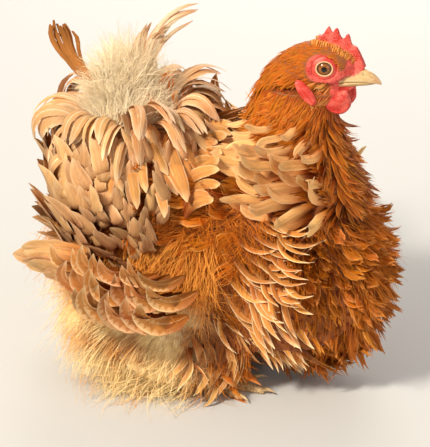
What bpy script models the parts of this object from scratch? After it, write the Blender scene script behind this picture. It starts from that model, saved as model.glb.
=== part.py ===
"""A frizzled buff pekin bantam hen, standing, at life size.

Metres, +Z up. The hen looks along +X, its left side is +Y, and the floor is z = 0. Flesh and close
plumage are smooth cores. The long frizzled feathers are closed vanes that curl away from them.
"""

import math
import random

import bmesh
import bpy
from mathutils import Matrix, Vector
from mathutils.bvhtree import BVHTree

MM = 0.001
GAP = 0.3 * MM  # kept between nodes that touch
CLEARANCE = 0.35 * MM  # kept between a vane and the other nodes
SEED = 7
SIDES = (("left", 1), ("right", -1))

# Trunk: ellipsoids of centre and half-axes, blended over a soft edge.
TRUNK_CENTRE = Vector((0.0, 0.0, 0.092))
TRUNK_MASSES = (
    ((0.052, 0.0, 0.079), (0.056, 0.064, 0.056)),  # breast
    ((0.004, 0.0, 0.092), (0.070, 0.064, 0.062)),  # middle
    ((-0.042, 0.0, 0.122), (0.051, 0.063, 0.050)),  # cushion of the rump
    ((-0.030, 0.0, 0.064), (0.049, 0.056, 0.046)),  # abdomen
)
TRUNK_BLEND = 4 * MM
TRUNK_LONGITUDES, TRUNK_LATITUDES = 24, 15

# Neck: height, place along X, and half-widths of each ring of its core.
NECK_RINGS = (
    (0.104, 0.052, 0.030, 0.032),
    (0.134, 0.054, 0.038, 0.039),
    (0.154, 0.053, 0.0315, 0.031),
    (0.174, 0.0505, 0.0275, 0.0240),
    (0.190, 0.0490, 0.0250, 0.0195),
    (0.203, 0.0500, 0.0215, 0.0165),
    (0.212, 0.0530, 0.0165, 0.0130),
)
NECK_SEGMENTS = 18

# Head, in the same frame.
HEAD_CENTRE = Vector((0.062, 0.0, 0.211))
HEAD_MASSES = (
    ((0.0605, 0.0, 0.2112), (0.0210, 0.0138, 0.0176)),  # skull
    ((0.0485, 0.0, 0.2020), (0.0185, 0.0150, 0.0175)),  # nape
    ((0.0640, 0.0, 0.2040), (0.0190, 0.0125, 0.0120)),  # cheeks
    ((0.0770, 0.0, 0.2082), (0.0130, 0.0074, 0.0085)),  # face, towards the bill
    ((0.0700, 0.0, 0.2180), (0.0150, 0.0120, 0.0090)),  # brows
)
HEAD_BLEND = 1.5 * MM
HEAD_LONGITUDES, HEAD_LATITUDES = 22, 15
EYE_CENTRE = Vector((0.0698, 0.0088, 0.2162))
EYE_RADIUS = 5.3 * MM
EYE_AXIS = Vector((0.22, 1.0, 0.10)).normalized()
LID_RADIUS, LID_TUBE, LID_OUT = 5.0 * MM, 0.9 * MM, 3.1 * MM
LID_SEGMENTS, LID_SIDES = 16, 6

# Bill: the gape, the tip, and the half-width at the face.
GAPE_X, BILL_TIP_X = 0.0775, 0.1025
GAPE_Z, BILL_TIP_Z = 0.2052, 0.2068
BILL_HALF_WIDTH = 5.8 * MM
UPPER_BILL_DEPTH, LOWER_BILL_DEPTH = 9.0 * MM, 4.2 * MM
SLIT_REACH = 12 * MM  # half the width of the blade that opens the mouth
NOSTRIL, NOSTRIL_HALF = (0.0936, 0.0034, 0.2106), (1.7 * MM, 1.4 * MM, 0.55 * MM)

# Comb: a serrated upright blade over the brow. Each point: its share of the way forward, and its height.
COMB_BACK, COMB_FRONT = Vector((0.0600, 0.0, 0.2265)), Vector((0.0925, 0.0, 0.2135))
COMB_POINTS = ((0.13, 14.8 * MM), (0.28, 15.8 * MM), (0.49, 15.4 * MM), (0.69, 11.0 * MM), (0.86, 6.4 * MM))
COMB_NOTCH_SHARE = 0.70
COMB_HALF_THICK, COMB_EDGE = 1.7 * MM, 0.7 * MM

# Wattles and ear lobes: centre on the left side, half-axes, and turns about X and Y in degrees.
WATTLE = ((0.0775, 0.0066, 0.1942), (0.0080, 0.0019, 0.0082), -14, 12)
EAR_LOBE = ((0.0585, 0.0150, 0.2008), (0.0036, 0.0024, 0.0086), -8, -38)
LOBE_SEGMENTS, LOBE_RINGS = 14, 8

# Wings: the folded hand and arm lie flat on the flank.
WING_CENTRE, WING_HALF = Vector((-0.022, 0.068, 0.104)), Vector((0.052, 0.013, 0.028))
WING_DROOP = 12  # degrees, tips down

# Tail: a short blunt cone out of the top of the cushion.
TAIL_BASE, TAIL_TIP = Vector((-0.050, 0.0, 0.146)), Vector((-0.059, 0.0, 0.179))
TAIL_RADII = (0.034, 0.017)

# Legs: fluffy thighs, feathered shanks and four toes.
THIGH_CENTRE, THIGH_HALF = Vector((-0.006, 0.052, 0.047)), Vector((0.050, 0.034, 0.039))
FOOT_X, FOOT_Y = 0.008, 0.030
SHANK_RADIUS, SHANK_TOP = 5.0 * MM, 0.030
TOE_RADIUS = 3.0 * MM
TOE_ANGLES = (-24, 4, 32, 172)  # degrees outward from straight ahead
TOE_LENGTHS = (0.027, 0.034, 0.026, 0.014)
CLAW_LENGTH, CLAW_RADIUS = 8 * MM, 1.7 * MM
SOLE = 0.9 * MM  # how much of a round toe the floor has flattened


def clear_scene():
    for obj in list(bpy.data.objects):
        bpy.data.objects.remove(obj, do_unlink=True)


def material(name, colour, roughness):
    made = bpy.data.materials.new(name)
    made.use_nodes = True
    shader = made.node_tree.nodes["Principled BSDF"]
    shader.inputs["Base Color"].default_value = (*colour, 1.0)
    shader.inputs["Roughness"].default_value = roughness
    shader.inputs["Metallic"].default_value = 0.0
    return made


def new_object(name, verts, faces):
    mesh = bpy.data.meshes.new(name)
    mesh.from_pydata([tuple(v) for v in verts], [], faces)
    obj = bpy.data.objects.new(name, mesh)
    bpy.context.scene.collection.objects.link(obj)
    return obj


def apply_modifiers(obj):
    graph = bpy.context.evaluated_depsgraph_get()
    mesh = bpy.data.meshes.new_from_object(obj.evaluated_get(graph))
    obj.modifiers.clear()
    old, obj.data = obj.data, mesh
    bpy.data.meshes.remove(old)
    mesh.name = obj.name


def keep_largest(obj):
    """Drops every closed surface of obj but the one that holds the most."""
    bm = bmesh.new()
    bm.from_mesh(obj.data)
    bmesh.ops.triangulate(bm, faces=bm.faces)
    left, parts = set(bm.faces), []
    while left:
        stack = [left.pop()]
        part = []
        while stack:
            face = stack.pop()
            part.append(face)
            for edge in face.edges:
                for other in edge.link_faces:
                    if other in left:
                        left.remove(other)
                        stack.append(other)
        parts.append(part)

    def volume(part):
        total = 0.0
        for face in part:
            a, b, c = (v.co for v in face.verts)
            total += a.dot(b.cross(c)) / 6
        return total

    parts.sort(key=volume)
    for part in parts[:-1]:
        bmesh.ops.delete(bm, geom=part, context="FACES")
    loose = [v for v in bm.verts if not v.link_faces]
    bmesh.ops.delete(bm, geom=loose, context="VERTS")
    bm.to_mesh(obj.data)
    bm.free()


def boolean(obj, others, operation):
    """Joins or cuts obj by closed meshes, which are then removed."""
    if not others:
        return
    group = bpy.data.collections.new("operands")
    bpy.context.scene.collection.children.link(group)
    for other in others:
        bpy.context.scene.collection.objects.unlink(other)
        group.objects.link(other)
    step = obj.modifiers.new(operation.lower(), "BOOLEAN")
    step.operation = operation
    step.operand_type = "COLLECTION"
    step.collection = group
    step.solver = "MANIFOLD"
    apply_modifiers(obj)
    for other in others:
        bpy.data.objects.remove(other, do_unlink=True)
    bpy.data.collections.remove(group)


def tree_of(obj):
    bm = bmesh.new()
    bm.from_mesh(obj.data)
    tree = BVHTree.FromBMesh(bm)
    bm.free()
    return tree


def blended(point, masses, soft, grow=0.0):
    """Rough distance from point to the smooth union of the ellipsoids, below 0 inside it."""
    total = 0.0
    for centre, half in masses:
        away = [(point[i] - centre[i]) / (half[i] + grow) for i in range(3)]
        far = math.sqrt(sum(x * x for x in away))
        total += math.exp(-(far - 1.0) * (min(half) + grow) / soft)
    return -soft * math.log(max(total, 1e-300))


def surface_point(direction, centre, masses, soft, grow=0.0, reach=0.2):
    """Where a ray from centre leaves the smooth union."""
    near, far = 0.0, reach
    for _ in range(36):
        middle = (near + far) / 2
        if blended(centre + direction * middle, masses, soft, grow) < 0:
            near = middle
        else:
            far = middle
    return centre + direction * near


def surface_normal(point, masses, soft):
    step = 0.2 * MM
    slope = [
        blended(point + axis * step, masses, soft) - blended(point - axis * step, masses, soft)
        for axis in (Vector((1, 0, 0)), Vector((0, 1, 0)), Vector((0, 0, 1)))
    ]
    return Vector(slope).normalized()


def direction_of(azimuth, elevation):
    """Unit vector: azimuth in degrees from +X towards +Y, elevation above the horizon."""
    a, e = math.radians(azimuth), math.radians(elevation)
    return Vector((math.cos(a) * math.cos(e), math.sin(a) * math.cos(e), math.sin(e)))


def mirrored(vector, sign):
    return Vector((vector[0], sign * vector[1], vector[2]))


def stacked(name, rings):
    """A closed mesh through rings of as many points each, from the first to the last."""
    count = len(rings[0])
    verts = [point for ring in rings for point in ring]
    faces = []
    for k in range(len(rings) - 1):
        for j in range(count):
            a, b = k * count + j, k * count + (j + 1) % count
            faces.append((a, b, b + count, a + count))
    faces.append(tuple(range(count))[::-1])
    faces.append(tuple(range((len(rings) - 1) * count, len(rings) * count)))
    obj = new_object(name, verts, faces)
    outward(obj)
    return obj


def outward(obj):
    bm = bmesh.new()
    bm.from_mesh(obj.data)
    bmesh.ops.triangulate(bm, faces=bm.faces)
    bmesh.ops.recalc_face_normals(bm, faces=bm.faces)
    bm.to_mesh(obj.data)
    bm.free()


def blended_core(name, centre, masses, soft, longitudes, latitudes, grow=0.0):
    """The smooth union of the ellipsoids as one closed mesh, with its poles on X."""
    verts, faces = [], []
    for i in range(1, latitudes):
        tilt = math.pi * i / latitudes
        for j in range(longitudes):
            turn = 2 * math.pi * (j + 0.5 * (i % 2)) / longitudes
            ray = Vector((math.cos(tilt), math.sin(tilt) * math.cos(turn), math.sin(tilt) * math.sin(turn)))
            verts.append(surface_point(ray, centre, masses, soft, grow))
    for i in range(latitudes - 2):
        for j in range(longitudes):
            a, b = i * longitudes + j, i * longitudes + (j + 1) % longitudes
            faces.append((a, b, b + longitudes, a + longitudes))
    for end, ray in ((0, Vector((1, 0, 0))), (latitudes - 2, Vector((-1, 0, 0)))):
        verts.append(surface_point(ray, centre, masses, soft, grow))
        for j in range(longitudes):
            faces.append((end * longitudes + j, end * longitudes + (j + 1) % longitudes, len(verts) - 1))
    obj = new_object(name, verts, faces)
    outward(obj)
    return obj


def ellipsoid(name, centre, half, turn=None, segments=16, rings=10, grow=0.0):
    verts, faces = [], []
    turn = turn or Matrix.Identity(3)
    half = Vector(half) + Vector((grow, grow, grow))
    centre = Vector(centre)
    for i in range(1, rings):
        tilt = math.pi * i / rings
        for j in range(segments):
            round_ = 2 * math.pi * j / segments
            ray = Vector(
                (
                    math.cos(round_) * math.sin(tilt) * half.x,
                    math.sin(round_) * math.sin(tilt) * half.y,
                    math.cos(tilt) * half.z,
                )
            )
            verts.append(centre + turn @ ray)
    for i in range(rings - 2):
        for j in range(segments):
            a, b = i * segments + j, i * segments + (j + 1) % segments
            faces.append((a, b, b + segments, a + segments))
    for end, sign in ((0, 1), (rings - 2, -1)):
        verts.append(centre + turn @ Vector((0, 0, sign * half.z)))
        for j in range(segments):
            faces.append((end * segments + j, end * segments + (j + 1) % segments, len(verts) - 1))
    obj = new_object(name, verts, faces)
    outward(obj)
    return obj


def tube(name, points, radii, sides, squash=1.0, grow=0.0):
    """A closed round tube along points, its rings flattened in height by squash."""
    rings = []
    for k, point in enumerate(points):
        ahead = points[min(k + 1, len(points) - 1)] - points[max(k - 1, 0)]
        ahead.normalize()
        across = ahead.cross(Vector((0, 0, 1)))
        if across.length < 0.1:
            across = Vector((0, 1, 0))
        across.normalize()
        upward = across.cross(ahead)
        radius = radii[k] + grow
        ring = []
        for j in range(sides):
            turn = 2 * math.pi * (j + 0.5) / sides
            ring.append(point + across * radius * math.cos(turn) + upward * radius * squash * math.sin(turn))
        rings.append(ring)
    return stacked(name, rings)


# Share of its full width that a vane has at each of its rings, from root to tip.
VANE_WIDTHS = {2: (0.62, 1.0, 0.34), 3: (0.55, 0.95, 1.0, 0.28)}
VANE_SINK = 5 * MM  # how deep its root stands in the core
VANE_THINNING = 0.4  # share of its thickness lost at the tip


def vane_rings(spec, grow):
    """Rings of points along a vane that leaves the surface at spec.rise and ends at spec.curl degrees."""
    normal, segments = spec["normal"], spec["segments"]
    lie = (spec["lie"] - normal * spec["lie"].dot(normal)).normalized()
    side = normal.cross(lie).normalized()
    rise, curl, sweep = (math.radians(spec[key]) for key in ("rise", "curl", "sweep"))

    def heading(share):
        angle = rise + (curl - rise) * share
        flat = lie * math.cos(sweep * share) + side * math.sin(sweep * share)
        ahead = flat * math.cos(angle) + normal * math.sin(angle)
        return ahead, normal * math.cos(angle) - flat * math.sin(angle)

    point = spec["root"] - heading(0.0)[0] * VANE_SINK
    step = (spec["length"] + VANE_SINK + grow) / segments
    rings = []
    for k, width in enumerate(VANE_WIDTHS[segments]):
        share = k / segments
        ahead, face = heading(share)
        across = face.cross(ahead) * (spec["width"] * width / 2 + grow)
        above = face * (spec["thick"] * (1 - VANE_THINNING * share) / 2 + grow)
        corners = (above - across, above + across, across - above, -across - above)
        rings.append([point + corner for corner in corners])
        point = point + heading(min(share + 0.5 / segments, 1.0))[0] * step
    return rings


def vane(name, spec, grow=0.0):
    """One closed vane, its upper and lower face split into triangles alike."""
    rings = vane_rings(spec, grow)
    verts = [point for ring in rings for point in ring]
    faces = []
    for k in range(len(rings) - 1):
        for j in range(4):
            a, b = 4 * k + j, 4 * k + (j + 1) % 4
            c, d = b + 4, a + 4
            faces += [(a, b, d), (b, c, d)] if j == 2 else [(a, b, c), (a, c, d)]
    for end in (0, 4 * len(rings) - 4):
        faces += [(end, end + 2, end + 1), (end, end + 3, end + 2)]
    obj = new_object(name, verts, faces)
    outward(obj)
    return obj


def plume(root, normal, lie, length, width, rise, curl, sweep=0.0, segments=3, thick=0.9 * MM):
    """The sizes of one vane, as a dictionary."""
    return {
        "root": root, "normal": normal, "lie": lie, "length": length, "width": width, "rise": rise,
        "curl": curl, "sweep": sweep, "segments": segments, "thick": thick,
    }


def neck_point(height, azimuth):
    """A point of the neck's core and its outward normal."""
    rings, k = NECK_RINGS, 0
    while k < len(rings) - 2 and rings[k + 1][0] < height:
        k += 1
    share = (height - rings[k][0]) / (rings[k + 1][0] - rings[k][0])
    place, deep, wide = (rings[k][i] + (rings[k + 1][i] - rings[k][i]) * share for i in (1, 2, 3))
    a = math.radians(azimuth)
    point = Vector((place + deep * math.cos(a), wide * math.sin(a), height))
    lean = (rings[k][2] - rings[k + 1][2]) / (rings[k + 1][0] - rings[k][0])
    normal = Vector((math.cos(a) / deep, math.sin(a) / wide, 0)).normalized() + Vector((0, 0, lean * 0.6))
    return point, normal.normalized()


def trunk_point(direction, centre=TRUNK_CENTRE):
    point = surface_point(direction, centre, TRUNK_MASSES, TRUNK_BLEND)
    return point, surface_normal(point, TRUNK_MASSES, TRUNK_BLEND)


# Neck feathers. Each row: height, how many all round, length, width, and how far they lie back and up.
HACKLE_ROWS = (
    (0.187, 8, 0.025, 0.0135, 0.70, -0.55),
    (0.173, 9, 0.036, 0.0160, 0.95, -0.30),
    (0.157, 10, 0.043, 0.0175, 1.00, -0.05),
    (0.140, 11, 0.045, 0.0185, 0.95, 0.15),
)
HACKLE_RISE, HACKLE_CURL = 14, 66

# Breast feathers. Each row: elevation seen from the trunk's centre, how many, and their length.
BREAST_ROWS = ((24, 7, 0.030), (9, 9, 0.034), (-7, 9, 0.036), (-23, 9, 0.034), (-40, 8, 0.028))
BREAST_SPREAD = 102  # degrees to each side
BREAST_SIDEWAYS = 0.8  # how far the feathers at the sides lean forward
BREAST_WIDTH, BREAST_RISE, BREAST_CURL = 0.0185, 12, 66

# Shoulder feathers in front of and above each wing. Each row: elevation, how many, and the first one's shift.
SHOULDER_ROWS = ((42, 3, 0.5), (25, 4, 0.0))
SHOULDER_FIRST, SHOULDER_STEP = 62, 22  # azimuths in degrees
SHOULDER_LIE = Vector((0.35, 0, 0.9))
SHOULDER_LENGTH, SHOULDER_WIDTH, SHOULDER_RISE, SHOULDER_CURL = 0.030, 0.0190, 18, 78

# Saddle feathers, in rings round the root of the tail. Each: angle from the tail, how many, length.
CUSHION_CENTRE = Vector((-0.046, 0.0, 0.118))
SADDLE_AXIS = Vector((-0.20, 0.0, 1.0)).normalized()
SADDLE_RINGS = ((34, 8, 0.042), (53, 11, 0.045), (72, 13, 0.043), (92, 13, 0.036))
SADDLE_WIDTH, SADDLE_RISE, SADDLE_CURL = 0.0180, 56, -36

# Down of the abdomen behind the thighs, and of the thighs. Each row: elevation, how many, and their length.
ABDOMEN_ROWS = ((-8, 4, 0.032), (-27, 4, 0.032), (-46, 3, 0.026))
ABDOMEN_SPREAD = 46
ABDOMEN_LIE = Vector((-0.3, 0, -1))
THIGH_ROWS = ((20, 4, 0.027), (-9, 5, 0.027), (-35, 5, 0.027))
THIGH_SPREAD = 82
THIGH_LIE = Vector((-0.25, 0, -1))
DOWN_WIDTH, DOWN_THICK, DOWN_RISE = 0.027, 1.6 * MM, 34

# Wing feathers: quills of the hand, quills of the arm, and the coverts above them. Each row: how many, the
# roots of the first and the last as shares of the wing's half-axes, their depth in it, the lies of the first
# and the last, and their length, width, rise and curl.
WING_ROWS = (
    (5, (-0.74, -0.40), (-0.74, 0.40), 0.30, (-1, -0.25), (-1, 0.37), 0.052, 0.0170, 4, 14),
    (6, (-0.60, -0.50), (0.45, -0.50), 0.62, (-1, -0.50), (-1, -0.70), 0.036, 0.0200, 12, 84),
    (5, (-0.45, 0.28), (0.70, 0.18), 0.88, (-1, -0.35), (-1, -0.35), 0.030, 0.0190, 22, 74),
)
# Tail feathers. Each tier: how far up the tail they root, how many, length, rise and curl.
TAIL_TIERS = ((1.02, 6, 0.058, 4, 50), (0.90, 9, 0.054, 16, 100))
TAIL_WIDTH, TAIL_ROOT_SHARE = 0.0170, 0.8

# Foot feathers: how many, the first and last azimuth, the height of their roots, and their sizes.
FOOT_FEATHERS, FOOT_FIRST, FOOT_LAST, FOOT_ROOT_HEIGHT = 4, -20, 140, 0.013
FOOT_LENGTH, FOOT_WIDTH, FOOT_RISE, FOOT_CURL = 0.036, 0.0150, -8, -10

# Random spread of the feathers: share of the length, and degrees of curl and of turn sideways.
LENGTH_SPREAD, CURL_SPREAD, SWEEP_SPREAD = 0.1, 10, 12
TRIAL_LENGTHS = (1.0, 0.84, 0.68, 0.52)
FLOOR_ROOM = 1.2 * MM


def spread(draw, length, curl):
    """Length, curl and sweep of one feather, each with its random part."""
    return (length * draw.uniform(1 - LENGTH_SPREAD, 1 + LENGTH_SPREAD),
            curl + draw.uniform(-CURL_SPREAD, CURL_SPREAD), draw.uniform(-SWEEP_SPREAD, SWEEP_SPREAD))


def hackle():
    """Neck feathers, which sweep back from the throat and hang at the nape."""
    found = []
    draw = random.Random(SEED)
    for row, (height, count, length, width, back, lift) in enumerate(HACKLE_ROWS):
        for j in range(count):
            azimuth = 360 * (j + 0.5 * (row % 2)) / count
            root, normal = neck_point(height, azimuth)
            side = math.sin(math.radians(azimuth))
            front = max(0.0, math.cos(math.radians(azimuth)))
            sweep_back = Vector((-abs(side), 0.9 * side * front, 0)) * back
            lie = sweep_back + Vector((0, 0, lift - 0.9 * (1 - abs(side))))
            long, curl, sweep = spread(draw, length * (1 - 0.3 * front), HACKLE_CURL)
            found.append(plume(root, normal, lie, long, width, HACKLE_RISE, curl, sweep))
    return found


def breast():
    found = []
    draw = random.Random(SEED + 1)
    for elevation, count, length in BREAST_ROWS:
        for j in range(count):
            azimuth = BREAST_SPREAD * (2 * (j + 0.5) / count - 1)
            root, normal = trunk_point(direction_of(azimuth, elevation))
            lie = Vector((BREAST_SIDEWAYS * abs(azimuth) / BREAST_SPREAD, 0, -1))
            long, curl, sweep = spread(draw, length, BREAST_CURL)
            found.append(plume(root, normal, lie, long, BREAST_WIDTH, BREAST_RISE, curl, sweep))
    return found


def shoulders():
    found = []
    draw = random.Random(SEED + 7)
    for _, sign in SIDES:
        for elevation, count, shift in SHOULDER_ROWS:
            for j in range(count):
                azimuth = sign * (SHOULDER_FIRST + SHOULDER_STEP * (j + shift))
                root, normal = trunk_point(direction_of(azimuth, elevation))
                long, curl, sweep = spread(draw, SHOULDER_LENGTH, SHOULDER_CURL)
                found.append(plume(root, normal, SHOULDER_LIE, long, SHOULDER_WIDTH, SHOULDER_RISE, curl,
                                   sweep))
    return found


def saddle():
    """Feathers in rings round the root of the tail, left out where the neck and shoulders are."""
    found = []
    draw = random.Random(SEED + 2)
    across = Vector((0, 1, 0))
    ahead = across.cross(SADDLE_AXIS)
    for row, (tilt, count, length) in enumerate(SADDLE_RINGS):
        for j in range(count):
            turn = 2 * math.pi * (j + 0.5 * (row % 2)) / count
            forward = math.cos(turn)
            if tilt > 90 and forward > 0.2 or tilt > 60 and forward > 0.8:
                continue
            outwards = ahead * forward + across * math.sin(turn)
            t = math.radians(tilt)
            root, normal = trunk_point(SADDLE_AXIS * math.cos(t) + outwards * math.sin(t), CUSHION_CENTRE)
            lie = outwards * math.cos(t) - SADDLE_AXIS * math.sin(t)
            long, curl, sweep = spread(draw, length, SADDLE_CURL)
            found.append(plume(root, normal, lie, long, SADDLE_WIDTH, SADDLE_RISE, curl, sweep))
    return found


def down(root, normal, lie, draw, length):
    """One broad tuft of down."""
    long, curl, sweep = spread(draw, length, 0)
    return plume(root, normal, lie, long, DOWN_WIDTH, DOWN_RISE, curl, sweep, segments=2, thick=DOWN_THICK)


def abdomen():
    found = []
    draw = random.Random(SEED + 3)
    for elevation, count, length in ABDOMEN_ROWS:
        for j in range(count):
            azimuth = 180 + ABDOMEN_SPREAD * (2 * (j + 0.5) / count - 1)
            root, normal = trunk_point(direction_of(azimuth, elevation))
            found.append(down(root, normal, ABDOMEN_LIE, draw, length))
    return found


def thigh_down(sign):
    found = []
    draw = random.Random(SEED + 4)
    centre = mirrored(THIGH_CENTRE, sign)
    for elevation, count, length in THIGH_ROWS:
        for j in range(count):
            azimuth = sign * (90 + THIGH_SPREAD * (2 * (j + 0.5) / count - 1))
            ray = direction_of(azimuth, elevation)
            spot = Vector([ray[i] * THIGH_HALF[i] for i in range(3)])
            normal = Vector([spot[i] / THIGH_HALF[i] ** 2 for i in range(3)]).normalized()
            found.append(down(centre + spot, normal, THIGH_LIE, draw, length))
    return found


def wing_frame(sign):
    """Centre and turn of the folded wing on one side."""
    return mirrored(WING_CENTRE, sign), Matrix.Rotation(math.radians(-WING_DROOP), 3, "Y")


def wing_feathers(sign):
    """Quills along the rear and lower edge, and coverts over their roots."""
    found = []
    centre, turn = wing_frame(sign)
    out = Vector((0, sign, 0))
    draw = random.Random(SEED + 5)
    for count, first, last, depth, first_lie, last_lie, length, width, rise, curl in WING_ROWS:
        for k in range(count):
            along, upward = Vector(first).lerp(Vector(last), k / (count - 1))
            back, lift = Vector(first_lie).lerp(Vector(last_lie), k / (count - 1))
            place = (along * WING_HALF.x, sign * depth * WING_HALF.y, upward * WING_HALF.z)
            long, curl_here, sweep = spread(draw, length, curl)
            found.append(plume(centre + turn @ Vector(place), out, Vector((back, 0, lift)), long, width, rise,
                               curl_here, sweep / 2))
    return found


def tail_feathers():
    """Quills in tiers that fan from the tail's root and curl outward."""
    found = []
    draw = random.Random(SEED + 6)
    axis = (TAIL_TIP - TAIL_BASE).normalized()
    across = Vector((0, 1, 0))
    ahead = across.cross(axis)
    for tier, (place, count, length, rise, curl) in enumerate(TAIL_TIERS):
        radius = TAIL_RADII[0] + (TAIL_RADII[1] - TAIL_RADII[0]) * place
        for k in range(count):
            turn = 2 * math.pi * (k + 0.5 * tier) / count
            outwards = ahead * math.cos(turn) + across * math.sin(turn)
            root = TAIL_BASE.lerp(TAIL_TIP, place) + outwards * radius * TAIL_ROOT_SHARE
            long, curl_here, sweep = spread(draw, length, curl)
            found.append(plume(root, outwards, axis, long, TAIL_WIDTH, rise, curl_here, sweep))
    return found


def foot_feathers(sign):
    """Feathers on the outer side of the shank, spread low over the floor."""
    found = []
    for k in range(FOOT_FEATHERS):
        azimuth = FOOT_FIRST + (FOOT_LAST - FOOT_FIRST) * k / (FOOT_FEATHERS - 1)
        ray = direction_of(sign * azimuth, 0)
        root = Vector((FOOT_X, sign * FOOT_Y, FOOT_ROOT_HEIGHT)) + ray * SHANK_RADIUS * 0.9
        found.append(plume(root, Vector((0, 0, 1)), ray, FOOT_LENGTH, FOOT_WIDTH, FOOT_RISE, FOOT_CURL,
                           segments=2))
    return found


def dress(obj, plumes, obstacles):
    """Joins the plumes to obj, each shortened until it clears the obstacles and the floor, or left out."""
    made = []
    for number, spec in enumerate(plumes):
        for share in TRIAL_LENGTHS:
            trial = dict(spec, length=spec["length"] * share)
            grown = vane("trial", trial, CLEARANCE)
            low = min(v.co.z for v in grown.data.vertices)
            tree = tree_of(grown)
            bpy.data.objects.remove(grown, do_unlink=True)
            if low > FLOOR_ROOM and not any(tree.overlap(other) for other in obstacles):
                made.append(vane(f"plume_{number}", trial))
                break
    boolean(obj, made, "UNION")
    keep_largest(obj)


def cut(obj, *cutters):
    """Cuts obj by the shapes and keeps its main piece."""
    boolean(obj, list(cutters), "DIFFERENCE")
    keep_largest(obj)


def finish(obj, surface, smooth_angle=40):
    obj.data.materials.clear()
    obj.data.materials.append(surface)
    obj.data.shade_smooth()
    obj.data.set_sharp_from_angle(angle=math.radians(smooth_angle))


def trunk_core(name, grow=0.0):
    return blended_core(name, TRUNK_CENTRE, TRUNK_MASSES, TRUNK_BLEND, TRUNK_LONGITUDES, TRUNK_LATITUDES,
                        grow)


def head_core(name, grow=0.0):
    return blended_core(name, HEAD_CENTRE, HEAD_MASSES, HEAD_BLEND, HEAD_LONGITUDES, HEAD_LATITUDES, grow)


def neck_core(name, grow=0.0):
    rings = []
    for height, place, deep, wide in NECK_RINGS:
        ring = []
        for j in range(NECK_SEGMENTS):
            a = 2 * math.pi * j / NECK_SEGMENTS
            ring.append(Vector((place + (deep + grow) * math.cos(a), (wide + grow) * math.sin(a), height)))
        rings.append(ring)
    return stacked(name, rings)


def eyeball(name, sign, grow=0.0):
    half = (EYE_RADIUS, EYE_RADIUS, EYE_RADIUS)
    turn = Matrix.Rotation(math.radians(90), 3, "X")
    return ellipsoid(name, mirrored(EYE_CENTRE, sign), half, turn, 14, 8, grow)


def lid_ring(name, sign):
    """The bare rim of the lids round one eye."""
    axis = mirrored(EYE_AXIS, sign)
    first = axis.cross(Vector((0, 0, 1))).normalized()
    second = axis.cross(first)
    middle = mirrored(EYE_CENTRE, sign) + axis * LID_OUT
    verts, faces = [], []
    for i in range(LID_SEGMENTS):
        a = 2 * math.pi * i / LID_SEGMENTS
        spoke = first * math.cos(a) + second * math.sin(a)
        for j in range(LID_SIDES):
            b = 2 * math.pi * j / LID_SIDES
            out, high = LID_RADIUS + LID_TUBE * math.cos(b), LID_TUBE * math.sin(b)
            verts.append(middle + spoke * out + axis * high)
            start, after = i * LID_SIDES, (i + 1) % LID_SEGMENTS * LID_SIDES
            across = (j + 1) % LID_SIDES
            faces.append((start + j, start + across, after + across, after + j))
    obj = new_object(name, verts, faces)
    outward(obj)
    return obj


def mouth_height(share):
    """Height of the line between the bills, from gape to tip."""
    return GAPE_Z + (BILL_TIP_Z - GAPE_Z) * share + 1.4 * MM * math.sin(math.pi * share) * (1 - 0.6 * share)


def bill(name, upper, grow=0.0):
    """One bill as rings from the gape to its tip, flat on the mouth line and arched away from it."""
    depth = UPPER_BILL_DEPTH if upper else LOWER_BILL_DEPTH
    reach = 1.0 if upper else 0.90
    sign = 1 if upper else -1
    arch = ((1.0, 0.0), (0.92, 0.40), (0.62, 0.78), (0.0, 1.0), (-0.62, 0.78), (-0.92, 0.40), (-1.0, 0.0))
    rings = []
    steps = 8
    for k in range(steps + 1):
        share = reach * k / steps
        x = GAPE_X + (BILL_TIP_X - GAPE_X) * share
        taper = max(0.0, 1 - (share / reach) ** 2.2)
        half = BILL_HALF_WIDTH * (0.10 + 0.90 * taper ** 0.8) + grow
        tall = depth * (0.14 + 0.86 * taper ** 0.7) + grow
        foot = mouth_height(share) + sign * (GAP / 2 - grow)
        if upper:
            foot -= 1.5 * MM * share**6
        ring = [Vector((x, half * across, foot + sign * (tall + grow) * rise)) for across, rise in arch]
        rings.append(ring)
    rings[0] = [p - Vector((grow, 0, 0)) for p in rings[0]]
    rings[-1] = [p + Vector((grow, 0, 0)) for p in rings[-1]]
    return stacked(name, rings)


def nostril(name, sign):
    turn = Matrix.Rotation(math.radians(-20), 3, "Y")
    return ellipsoid(name, mirrored(NOSTRIL, sign), NOSTRIL_HALF, turn, 10, 6)


def mouth_slit(name):
    """A thin blade that opens the corners of the mouth in the face."""
    rings = []
    for k in range(4):
        share = -0.05 + 0.65 * k / 3
        x = GAPE_X + (BILL_TIP_X - GAPE_X) * share
        middle = mouth_height(max(share, 0.0))
        corners = ((1, 1), (-1, 1), (-1, -1), (1, -1))
        rings.append([Vector((x, SLIT_REACH * y, middle + GAP * z)) for y, z in corners])
    return stacked(name, rings)


def comb_blade(name):
    """The comb: its outline of points and notches, thick at the foot and thin at the edge."""
    along = COMB_FRONT - COMB_BACK
    upward = Vector((-along.z, 0, along.x)).normalized()
    tops = [(0.04, 0.60 * COMB_POINTS[0][1])]
    for k, (share, height) in enumerate(COMB_POINTS):
        tops.append((share, height))
        if k + 1 < len(COMB_POINTS):
            next_share, next_height = COMB_POINTS[k + 1]
            tops.append(((share + next_share) / 2, COMB_NOTCH_SHARE * min(height, next_height)))
    tops.append((0.97, 1.5 * MM))
    rings = []
    for share, height in tops:
        foot = COMB_BACK + along * share - upward * 3 * MM
        tip = COMB_BACK + along * share + upward * height
        middle = foot.lerp(tip, 0.55)
        wide, thin = Vector((0, COMB_HALF_THICK, 0)), Vector((0, COMB_EDGE, 0))
        rings.append([foot + wide, middle + wide, tip + thin, tip - thin, middle - wide, foot - wide])
    return stacked(name, rings)


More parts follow.
